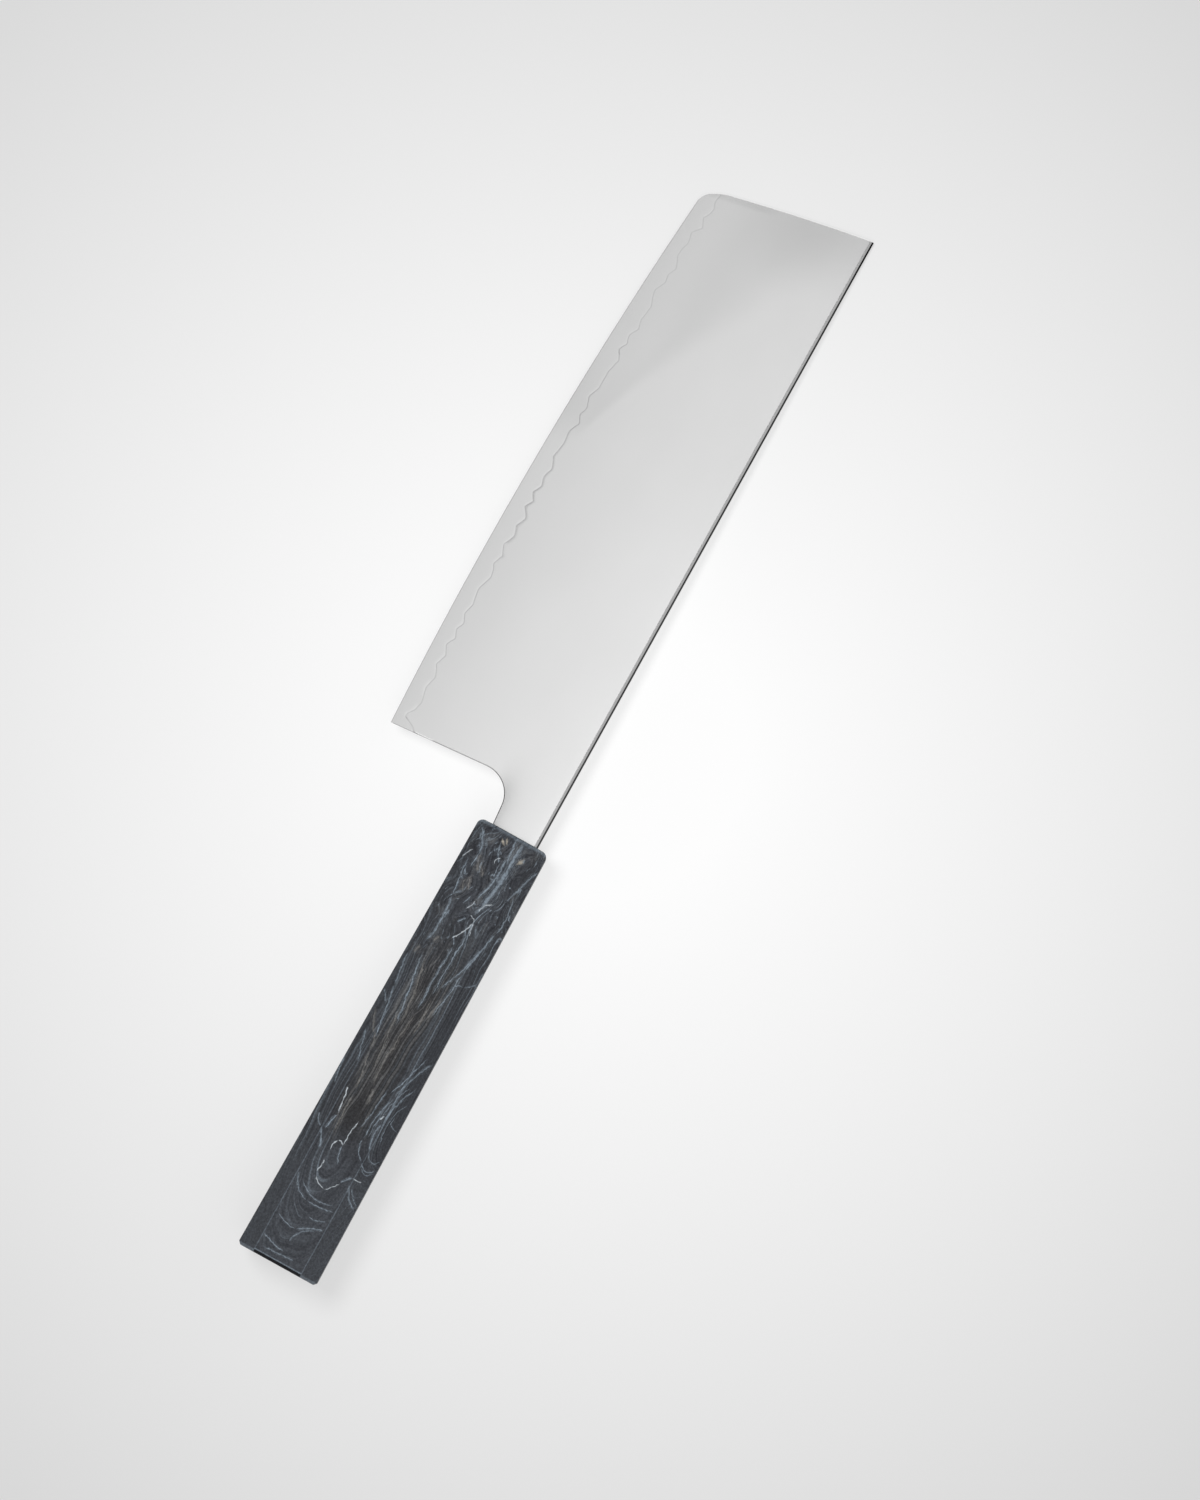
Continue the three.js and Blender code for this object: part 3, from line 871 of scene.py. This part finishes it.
def makePiece(name, bm, material, node):
    bmesh.ops.remove_doubles(bm, verts=bm.verts[:], dist=meshing["merge"])
    bmesh.ops.recalc_face_normals(bm, faces=bm.faces[:])
    bmesh.ops.transform(bm, matrix=restPose, verts=bm.verts[:])
    for face in bm.faces:
        face.smooth = True
    mesh = bpy.data.meshes.new(name)
    bm.to_mesh(mesh)
    bm.free()
    mesh.set_sharp_from_angle(angle=meshing["sharp"])
    mesh.materials.append(material)
    piece = bpy.data.objects.new(name, mesh)
    scene.collection.objects.link(piece)
    piece.modifiers.new("evenNormals", "WEIGHTED_NORMAL").keep_sharp = True
    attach(piece, "root")
    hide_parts(node)
    print(name, "made with", len(mesh.polygons), "faces")


def cut(bm, point, normal, faces=None, **settings):
    faces = faces or bm.faces[:]
    edges = {edge for face in faces for edge in face.edges}
    verts = {vert for face in faces for vert in face.verts}
    return bmesh.ops.bisect_plane(bm, geom=[*verts, *edges, *faces], dist=meshing["snap"],
                                  plane_co=point, plane_no=normal, **settings)


def only(items, kind):
    return [item for item in items if isinstance(item, kind)]


def thicken(bm):
    # gives the sheet its other side, and returns the vertices of the new one
    grown = bmesh.ops.extrude_face_region(bm, geom=bm.faces[:])["geom"]
    return only(grown, bmesh.types.BMVert)


# Blade

weld = dict(
    heightAtHeel=6.9,  # the line before its waves, above the edge
    height=4.45,
    waves=((63.0, 0.87, 0.3, 0.3), (16.1, 3.8, 0.12, 0.55)),  # length, phase, heel, tip
    hump=1.9,  # it comes close to the edge near the heel
    humpAt=3.2,
    humpLength=2.0,
    zigzag=6.2,  # length of the small kinks, how far they stray, and their least and most reach
    stray=0.5,
    strayNoise=(0.09, 4.3, 1.7),  # pitch and seed
    kinks=(0.45, 1.1),
    kinkNoise=(0.07, 8.1, 2.6),
    ragged=0.16,
    raggedNoise=(0.8, 3.1, 5.2),
    fade=2.6,  # the waves die away this close to both ends
    reach=10.0,  # and this far into the flank
    spread=2.0,  # a steep run keeps its rim's width by taking it from this far
    slopeStep=0.1,  # its slope is measured this far to both sides
)

rims = dict(
    width=0.24,  # softened rim of the cladding
    drop=0.09,
    stripWidth=0.2,  # rims of the core's bare strip and of its covered part
    coveredWidth=0.05,
    grooveDrop=0.0012,  # the weld line lies this far down, and the rim's own drop begins this far away
    grooveReach=0.4,
    heelShare=0.75,  # share of the rim's width that belongs to the heel's end
    plainFront=10.0,  # no drop and no painted rim shade this close to the tip
    heelRimShade=0.42,  # painted shade: how dark the rims are painted at the heel, and from the neck to the choil
    neckRimShade=0.75,
    rimShadeFade=(4.0, 9.0),  # where the one turns into the other, below the heel's root
    edgeClear=1.0,  # no painted shade and no weld line tone this close to the cutting edge
    weldInk=0.11,
    weldMiddle=0.2,  # share of it that is left at mid-blade
    weldReach=(0.2, 0.6),  # nearer to the line than the first it is all weld ink, and past the second none
    thinRimShade=0.35,  # more painted shade at the heel, where the cladding is too thin for the drop
)


def alongEdge(x):
    return (x - heel.x) / blade["edgeLength"]


def edgeChord(x):
    return lerp(heel.y, tipCorner.y, alongEdge(x))


def edgeAt(x):
    t = alongEdge(x)
    return edgeChord(x) + 4 * blade["edgeBelly"] * t * (1 - t)


def spineHalf(x):
    return blade["coreHalf"] + lerp(blade["neckCladding"], blade["tipCladding"], clamp(x / tipSpine.x))


def flankHalf(x, fromEdge):
    t = (fromEdge - blade["bevelHeight"]) / (edgeAt(x) - spineY - blade["bevelHeight"])
    return lerp(blade["bevelHalf"], spineHalf(x), t) + 4 * blade["flankBow"] * t * (1 - t)


def halfThickness(x, y):
    # honed bevel, flank and rounded spine
    fromEdge = edgeAt(x) - y
    if fromEdge <= blade["bevelHeight"]:
        return blade["bevelHalf"] * max(fromEdge, 0) / blade["bevelHeight"]
    shoulderAt = edgeAt(x) - spineY - blade["spineRound"]
    if fromEdge < shoulderAt:
        return flankHalf(x, fromEdge)
    sine = clamp((fromEdge - shoulderAt) / blade["spineRound"])
    depth = min(blade["spineRound"], spineHalf(x) - blade["spineFlat"] / 2)
    return flankHalf(x, shoulderAt) - depth * (1 - math.sqrt(1 - sine * sine))


def weldDepth(x, y, atWeld, inside):
    # height of the layer boundary, as shares of the blade's half thickness
    half = halfThickness(x, y)
    if y < spineY + blade["spineRound"]:
        return min(blade["coreHalf"], atWeld * half)
    fromWeld = edgeAt(x) - y - weldHeight(x)
    return min(blade["coreHalf"], half * lerp(atWeld, inside, clamp(fromWeld / blade["coreThins"])))


def weldChordHeight(x):
    return lerp(weld["heightAtHeel"], weld["height"], alongEdge(x))


def waver(x, pitch, *seed):
    return noise.noise(Vector((x * pitch, *seed)))


def weldHeight(x):
    t = clamp(alongEdge(x))
    height = weld["height"]
    for length, phase, atHeel, atTip in weld["waves"]:
        height += lerp(atHeel, atTip, t) * math.sin(2 * math.pi * x / length + phase)
    height -= weld["hump"] * math.exp(-((x - heel.x - weld["humpAt"]) / weld["humpLength"]) ** 2)
    drift = waver(x, *weld["strayNoise"])
    reach = lerp(*weld["kinks"], abs(waver(x, *weld["kinkNoise"])))
    step = math.asin(math.sin(2 * math.pi * (x / weld["zigzag"] + drift * weld["stray"])))
    height += reach * step / math.pi * 2
    height += weld["ragged"] * waver(x, *weld["raggedNoise"])
    fromHeel = clamp((x - heel.x - blade["heelLean"] / 4) / weld["fade"])
    toTip = clamp((tipCorner.x - x) / weld["fade"])
    return lerp(weldChordHeight(x), height, fromHeel * toTip)


def widen(off, x):
    # keeps the rim's width square to the line where the line is steep
    width = rims["width"]
    step = weld["slopeStep"]
    slope = (weldHeight(x + step) - weldHeight(x - step)) / (2 * step)
    grown = min(width * math.hypot(1, slope), weld["spread"] / 2)
    if abs(off) < width:
        return off * grown / width
    share = clamp((abs(off) - width) / (weld["spread"] - width))
    return math.copysign(max(lerp(grown, weld["spread"], share), abs(off)), off)


def bend(bm):
    # bows edge and tip, and turns the straight weld cut into the wavy line
    for vert in bm.verts:
        x, y = vert.co.x, vert.co.y
        onEdge = heel.x < x < tipCorner.x
        toEdge = clamp((y - spineY) / (edgeChord(x) - spineY))
        lift = (edgeAt(x) - edgeChord(x)) * toEdge if onEdge else 0
        fromEdge = edgeChord(x) - y
        chordHeight = weldChordHeight(x)
        off = fromEdge - chordHeight
        pull = clamp(1 - off / weld["reach"]) if off > 0 else fromEdge / chordHeight
        vert.co.y += lift - (weldHeight(x) - chordHeight) * pull
        if abs(off) < weld["spread"] and onEdge:
            vert.co.y -= widen(off, x) - off
        up = clamp((y - spineY) / blade["tipHeight"])
        toFront = clamp((x - tipCorner.x) / blade["bowFade"] + 1)
        vert.co.x += 4 * blade["tipBow"] * up * (1 - up) * toFront


def roundCorner(bm, corner, radius):
    vert = min(bm.verts, key=lambda v: (v.co.xy - corner).length)
    a, b = (edge.other_vert(vert).co - vert.co for edge in vert.link_edges)
    reach = radius / math.tan(a.angle(b) / 2)
    bmesh.ops.bevel(bm, geom=[vert], offset=reach, offset_type="OFFSET", affect="VERTICES",
                    segments=blade["cornerSteps"], profile=0.5, material=-1)


def bladePlan():
    # the blade from the side, with straight edges and a rounded tip and choil
    bm = bmesh.new()
    bm.verts.layers.float.new("inner")  # 0 on the outline, 1 inside the rim
    bm.verts.layers.float.new("cover")  # how far under the cladding
    bm.verts.layers.float.new("rimShadeAndWeldLine")  # painted shade along the rims, and the weld line's own faint tone, for the steel's material
    tangEnd = blade["tangEndWidth"] / 2
    corners = (
        (-blade["tangLength"], -tangEnd), (-blade["sealDepth"], spineY), tipSpine, tipNips[1], tipNips[0],
        heel, heelRoot, (0, neckEdgeY), (-blade["sealDepth"], neckEdgeY), (-blade["tangLength"], tangEnd),
    )
    bm.faces.new([bm.verts.new((x, y, 0)) for x, y in corners])
    for corner, radius in zip(tipNips, blade["tipRounds"]):
        roundCorner(bm, corner, radius)
    roundCorner(bm, heelRoot, blade["choilRadius"])
    return bm


weldPoint = Vector((heel.x, heel.y - weld["heightAtHeel"], 0))
weldEnd = Vector((tipCorner.x, tipCorner.y - weld["height"], 0))
weldNormal = Vector((0, 0, 1)).cross(weldEnd - weldPoint).normalized()


def rim(bm, face, width):
    # two rows, so that a soft rim has a middle
    inner = bm.verts.layers.float["inner"]
    for _ in range(2):
        bmesh.ops.inset_region(bm, faces=[face], thickness=width / 2,
                               use_boundary=True, use_even_offset=True)
    for vert in face.verts:
        vert[inner] = 1.0


def onHeel(x, y):
    # within the rim of the heel's end
    line = lerp(heel.x, heelRoot.x, (heel.y - y) / (heel.y - heelRoot.y))
    return x - line < rims["heelShare"] * rims["width"]


def onFront(x):
    return x > tipCorner.x - rims["plainFront"]


def drawRimShadeAndWeldLine(bm):
    # painted shade as a dark line along the rims, the weld line's own faint tone, and none along spine,
    # front and cutting edge
    inner = bm.verts.layers.float["inner"]
    rimShadeAndWeldLine = bm.verts.layers.float["rimShadeAndWeldLine"]
    fadeStart, fadeEnd = rims["rimShadeFade"]
    nearWeld, offWeld = rims["weldReach"]
    for vert in bm.verts:
        x, y = vert.co.x, vert.co.y
        fromEdge = edgeAt(x) - y
        fromWeld = abs(fromEdge - weldHeight(x))
        toWeld = 0 if onHeel(x, y) else clamp((offWeld - fromWeld) / (offWeld - nearWeld))
        toHeel = clamp((y - heelRoot.y - fadeStart) / (fadeEnd - fadeStart))
        dark = 0 if onFront(x) else lerp(rims["neckRimShade"], rims["heelRimShade"], toHeel)
        middle = math.sin(math.pi * clamp(alongEdge(x)))
        weldInk = rims["weldInk"] * lerp(1, rims["weldMiddle"], middle)
        free = y > spineY + blade["spineRound"] and fromEdge > rims["edgeClear"]
        vert[rimShadeAndWeldLine] = free * (1 - vert[inner]) * lerp(dark, weldInk, toWeld)


def columns(bm):
    count = int(tipSpine.x / blade["columnStep"])
    for i in range(count):
        cut(bm, (i * tipSpine.x / count, 0, 0), (1, 0, 0))


cladding = dict(
    rowStep=2.2,  # spacing of the mesh across the flank, and its rows on the spine's round
    roundRows=9,
    under=(0.9, 0.52),  # its underside, as shares of the half thickness at the weld line and far from it
    least=0.004,  # it is at least this thick
)


def rimDrop(x, y):
    # how far the cladding's rim lies below the flank
    if y < spineY + blade["spineRound"]:
        return 0
    drop = 0 if onFront(x) else rims["drop"]
    if onHeel(x, y):
        return drop
    fromWeld = abs(edgeAt(x) - y - weldHeight(x))
    return lerp(rims["grooveDrop"], drop, clamp(fromWeld - rims["grooveReach"]))


def raiseFlank(bm, verts):
    inner = bm.verts.layers.float["inner"]
    rimShadeAndWeldLine = bm.verts.layers.float["rimShadeAndWeldLine"]
    for vert in verts:
        x, y = vert.co.x, vert.co.y
        drop = rimDrop(x, y)
        top = halfThickness(x, y) - drop * (1 - vert[inner])
        short = max(0, vert.co.z + cladding["least"] - top)
        vert.co.z = top + short
        # where the thin cladding cannot drop, painted shade stands in for the rim's dark
        if onHeel(x, y) and y > heelRoot.y and drop > 0:
            vert[rimShadeAndWeldLine] += rims["thinRimShade"] * clamp(short / drop)


def makeCladding(name, side, node):
    bm = bladePlan()
    cut(bm, weldPoint, weldNormal, clear_outer=True)
    rim(bm, bm.faces[:][0], rims["width"])
    for i in range(cladding["roundRows"]):
        fromSpine = blade["spineRound"] * (1 - math.sin(math.pi / 2 * i / cladding["roundRows"]))
        cut(bm, (0, spineY + fromSpine, 0), (0, 1, 0))
    rows = int((blade["heelHeight"] - blade["spineRound"]) / cladding["rowStep"])
    for i in range(1, rows):
        cut(bm, (0, spineY + blade["spineRound"] + i * cladding["rowStep"], 0), (0, 1, 0))
    columns(bm)
    bend(bm)
    drawRimShadeAndWeldLine(bm)
    for vert in bm.verts:
        vert.co.z = weldDepth(vert.co.x, vert.co.y, *cladding["under"])
    raiseFlank(bm, thicken(bm))
    bmesh.ops.scale(bm, vec=(1, 1, side), verts=bm.verts[:])
    makePiece(name, bm, claddingSteel, node)


core = dict(
    rows=(0.1, 0.19, 0.24, 0.5, 1.0, 1.5, 2.1, 2.8, 3.6, 4.4, 5.2),  # of the mesh, from the edge
    spineRow=0.03,
    under=(0.8, 0.48),  # under the cladding, as shares of the half thickness
    covered=0.02,  # the cladding begins this far past the weld line, and the groove this far before it
    groove=0.3,
)


def makeCore():
    bm = bladePlan()
    cut(bm, weldPoint, weldNormal)
    covered, strip = sorted(bm.faces, key=lambda face: face.calc_center_median().y)
    rim(bm, strip, rims["stripWidth"])
    rim(bm, covered, rims["coveredWidth"])
    edgeNormal = Vector((0, 0, 1)).cross((tipCorner - heel).to_3d()).normalized()
    for fromEdge in core["rows"]:
        cut(bm, heel.to_3d() - edgeNormal * fromEdge, edgeNormal)
    cut(bm, (0, spineY + core["spineRow"], 0), (0, 1, 0))
    columns(bm)
    cover = bm.verts.layers.float["cover"]
    for vert in bm.verts:
        vert[cover] = edgeChord(vert.co.x) - vert.co.y - weldChordHeight(vert.co.x)
    bend(bm)
    drawRimShadeAndWeldLine(bm)
    inner = bm.verts.layers.float["inner"]
    upper = thicken(bm)
    for vert in bm.verts:
        half = halfThickness(vert.co.x, vert.co.y)
        if vert[cover] > core["covered"]:
            half = weldDepth(vert.co.x, vert.co.y, *core["under"])
        elif vert[cover] > -core["groove"]:
            half -= rims["grooveDrop"] * (1 - vert[inner])
        vert.co.z = -half
    for vert in upper:
        vert.co.z *= -1
    makePiece("ground_core", bm, coreSteel, "core_steel")


makeCore()
makeCladding("ground_cladding_right", 1, "cladding_right")
makeCladding("ground_cladding_left", -1, "cladding_left")


# Handle

def endEdges(bm, x):
    return [edge for edge in bm.edges if all(abs(vert.co.x - x) < meshing["touch"] for vert in edge.verts)]


def breakEdges(bm, edges, offset, segments):
    bmesh.ops.bevel(bm, geom=edges, offset=offset, offset_type="OFFSET", affect="EDGES",
                    segments=segments, profile=0.5, material=-1)


def deepen(bm, face, x, lowY, highY):
    # pushes the socket's floor back to x, between two heights
    made = bmesh.ops.extrude_face_region(bm, geom=[face])["geom"]
    for vert in only(made, bmesh.types.BMVert):
        vert.co.x = x
        vert.co.y = lowY if vert.co.y < 0 else highY
    return only(made, bmesh.types.BMFace)[0]


def makeHandle():
    bm = bmesh.new()
    halfFacet = handle["facet"] / 2
    halfSide = handle["side"] / 2
    touch = meshing["touch"]
    bmesh.ops.create_cube(bm, size=2)
    size = (handle["length"] / 2, halfFacet + handle["buttChamfer"], halfSide + handle["buttChamfer"])
    bmesh.ops.scale(bm, vec=size, verts=bm.verts[:])
    bmesh.ops.translate(bm, vec=(-handle["length"] / 2, 0, 0), verts=bm.verts[:])
    longEdges = [edge for edge in bm.edges if edge.calc_length() > handle["length"] - touch]
    breakEdges(bm, longEdges, handle["buttChamfer"], 1)

    # the slanted facets draw in towards the front
    drawIn = handle["buttChamfer"] - handle["frontChamfer"]
    for vert in bm.verts:
        if vert.co.x < -touch:
            continue
        if abs(vert.co.y) > halfFacet + touch:
            vert.co.y -= math.copysign(drawIn, vert.co.y)
        if abs(vert.co.z) > halfSide + touch:
            vert.co.z -= math.copysign(drawIn, vert.co.z)

    breakEdges(bm, endEdges(bm, 0), handle["frontRound"], handle["frontSteps"])
    breakEdges(bm, endEdges(bm, -handle["length"]), handle["buttBevel"], 1)
    sharp = [edge for edge in bm.edges if edge.calc_face_angle(0) > handle["softAngle"]]
    breakEdges(bm, sharp, handle["softEdge"], handle["softSteps"])

    # the tang's socket, open at the front
    bed = handle["bedWall"]
    socketHalf = spineHalf(0) + blade["flankBow"] + bed
    front = [max(bm.faces, key=lambda face: face.normal.x * face.calc_area())]
    walls = [((0, y, 0), (0, 1, 0)) for y in (spineY - bed, neckEdgeY + bed)]
    walls += [((0, 0, z), (0, 0, 1)) for z in (socketHalf, -socketHalf)]
    for point, normal in walls:
        front = only(cut(bm, point, normal, front)["geom"], bmesh.types.BMFace)
    mouth = min(front, key=lambda face: face.calc_center_median().yz.length)
    floor = deepen(bm, mouth, -blade["sealDepth"], spineY - bed, neckEdgeY + bed)
    tangSide = blade["tangEndWidth"] / 2 + bed
    deepen(bm, floor, -blade["tangLength"] - bed, -tangSide, tangSide)
    makePiece("polished_handle", bm, marbledPlastic, "handle_body")


makeHandle()


# Bead of sealant round the neck

bead = dict(
    gap=0.05,  # clearance to the steel and to the socket
    swell=0.12,  # the bead stands this far out of the handle
    crownCuts=3,
)


def makeBead():
    bm = bmesh.new()
    steelHalf = spineHalf(0) + blade["flankBow"] + bead["gap"]
    outerHalf = steelHalf + handle["bedWall"] - 2 * bead["gap"]
    middleY = (spineY + neckEdgeY) / 2
    rings = []
    for half, reach in ((steelHalf, bead["gap"]), (outerHalf, handle["bedWall"] - bead["gap"])):
        made = bmesh.ops.create_grid(bm, x_segments=1, y_segments=1, size=1)["verts"]
        faces = {face for vert in made for face in vert.link_faces}
        bmesh.ops.delete(bm, geom=list(faces), context="FACES_ONLY")
        bmesh.ops.rotate(bm, verts=made, matrix=Matrix.Rotation(math.radians(90), 3, "Y"))
        bmesh.ops.scale(bm, vec=(1, blade["neckWidth"] / 2 + reach, half), verts=made)
        bmesh.ops.translate(bm, vec=(-blade["sealDepth"], middleY, 0), verts=made)
        rings += {edge for vert in made for edge in vert.link_edges}
    ring = bmesh.ops.bridge_loops(bm, edges=rings)["faces"]
    grown = bmesh.ops.extrude_face_region(bm, geom=ring)["geom"]
    bmesh.ops.translate(bm, vec=(blade["sealDepth"], 0, 0), verts=only(grown, bmesh.types.BMVert))
    top = only(grown, bmesh.types.BMFace)
    across = {edge for face in top for edge in face.edges
              if sum(item in top for item in edge.link_faces) == 2}
    made = bmesh.ops.subdivide_edges(bm, edges=list(across), cuts=bead["crownCuts"], use_grid_fill=True)
    crown = only(made["geom_inner"], bmesh.types.BMVert)
    bmesh.ops.translate(bm, vec=(bead["swell"], 0, 0), verts=crown)
    makePiece("neck_bead", bm, sealant, "neck_seal")


makeBead()

# The adhesive keeps the frame's own shape, inside the handle
glue = frame["nodes"]["tang_adhesive"]
glue.data.materials.clear()
glue.data.materials.append(adhesive)
print("adhesive finished")


# Floor and light

studio = dict(
    centre=(4.4, -25.5),  # a painted pool of light: the floor is palest here, in millimetres
    plateau=0.040,
    fallEnd=0.257,
    pale=0.965,
    edge=0.68,
    floorSize=8.0,
    floorGlow=0.72,  # share of the floor's tone that no shadow takes away
    boxSides=((0.0, 1.0, 0.0), (0.707, -0.707, 0.0)),  # the softbox overhead fades out these two ways
    boxFades=((-0.1, 0.27), (0.02, 0.14)),
    boxReach=(0.75, 0.5),
    boxBright=3.1,
    roomDark=0.12,
    roomPale=0.7,  # the walls, near the horizon and behind the spine
    horizon=(0.3, 0.12),
    spineSide=(0.05, -0.35),
    seenWalls=(0.74, 0.5),  # and, where they are only seen, from this height down
    keyWay=(0.276, 0.961),
    keyTilt=math.radians(21),
    keyDistance=2.6,
    keySize=0.9,
    keyPower=42,
)


def seenOnly(tree):
    # 1 for what the camera sees, by itself or in steel, and 0 for the light on the knife
    rays = tree.nodes.new("ShaderNodeLightPath").outputs
    seen = calc(tree, "MAXIMUM", rays["Is Camera Ray"], rays["Is Glossy Ray"])
    return calc(tree, "MAXIMUM", seen, rays["Is Transmission Ray"])


def makeFloor():
    bm = bmesh.new()
    bmesh.ops.create_grid(bm, x_segments=1, y_segments=1, size=studio["floorSize"] / 2)
    mesh = bpy.data.meshes.new("floor")
    bm.to_mesh(mesh)
    bm.free()
    material, tree = newMaterial("paleFloor")
    spot = tree.nodes.new("ShaderNodeTexCoord").outputs["Object"]
    middleX, middleY = studio["centre"]
    # the floor's tone falls from pale at the centre to darker at its edge, a painted pool of light
    away = vectorCalc(tree, "DISTANCE", spot, (middleX / 1000, middleY / 1000, 0), output="Value")
    sockets = {"Value": away, "From Min": studio["plateau"], "From Max": studio["fallEnd"],
               "To Min": studio["pale"], "To Max": studio["edge"]}
    tone = put(tree, "ShaderNodeMapRange", sockets).outputs[0]
    dull = put(tree, "ShaderNodeBsdfDiffuse", {"Color": tone}).outputs[0]
    glow = put(tree, "ShaderNodeEmission", {"Color": tone}).outputs[0]
    share = times(tree, seenOnly(tree), studio["floorGlow"])
    surface = put(tree, "ShaderNodeMixShader", {0: share, 1: dull, 2: glow}).outputs[0]
    put(tree, "ShaderNodeOutputMaterial", {"Surface": surface})
    mesh.materials.append(material)
    floor = bpy.data.objects.new("floor", mesh)
    scene.collection.objects.link(floor)


def makeSky():
    world = bpy.data.worlds.new("studio")
    world.use_nodes = True
    tree = world.node_tree
    tree.nodes.clear()
    way = tree.nodes.new("ShaderNodeTexCoord").outputs["Generated"]
    fromZenith = vectorCalc(tree, "LENGTH", stretch(tree, way, (1, 1, 0)), output="Value")
    box = span(tree, fromZenith, *studio["boxReach"])
    for toSide, fade in zip(studio["boxSides"], studio["boxFades"]):
        away = vectorCalc(tree, "DOT_PRODUCT", way, toSide, output="Value")
        box = times(tree, box, span(tree, away, *fade, 1.0, 0.0))
    _, toEdge, up = split(tree, way)
    behind = span(tree, toEdge, *studio["spineSide"])
    pale = calc(tree, "MAXIMUM", span(tree, up, *studio["horizon"]), behind)
    seen = times(tree, span(tree, up, *studio["seenWalls"]), seenOnly(tree))
    pale = calc(tree, "MAXIMUM", pale, seen)
    walls = span(tree, pale, 0.0, 1.0, studio["roomDark"], studio["roomPale"])
    strength = calc(tree, "MULTIPLY_ADD", box, studio["boxBright"], walls)
    background = put(tree, "ShaderNodeBackground", {"Strength": strength})
    put(tree, "ShaderNodeOutputWorld", {"Surface": background.outputs[0]})
    scene.world = world


def makeKey():
    # lights what is dull and casts the shadow, and the steel shows the softbox alone
    data = bpy.data.lights.new("key", "AREA")
    data.shape = "DISK"
    data.size = studio["keySize"]
    data.energy = studio["keyPower"]
    lamp = bpy.data.objects.new("key", data)
    out = Vector((*studio["keyWay"], 0)) * math.sin(studio["keyTilt"])
    toKey = out + Vector((0, 0, math.cos(studio["keyTilt"])))
    lamp.location = toKey * studio["keyDistance"]
    lamp.rotation_euler = toKey.to_track_quat("Z", "Y").to_euler()
    lamp.visible_glossy = False
    scene.collection.objects.link(lamp)


makeFloor()
makeSky()
makeKey()
print("floor and light set")
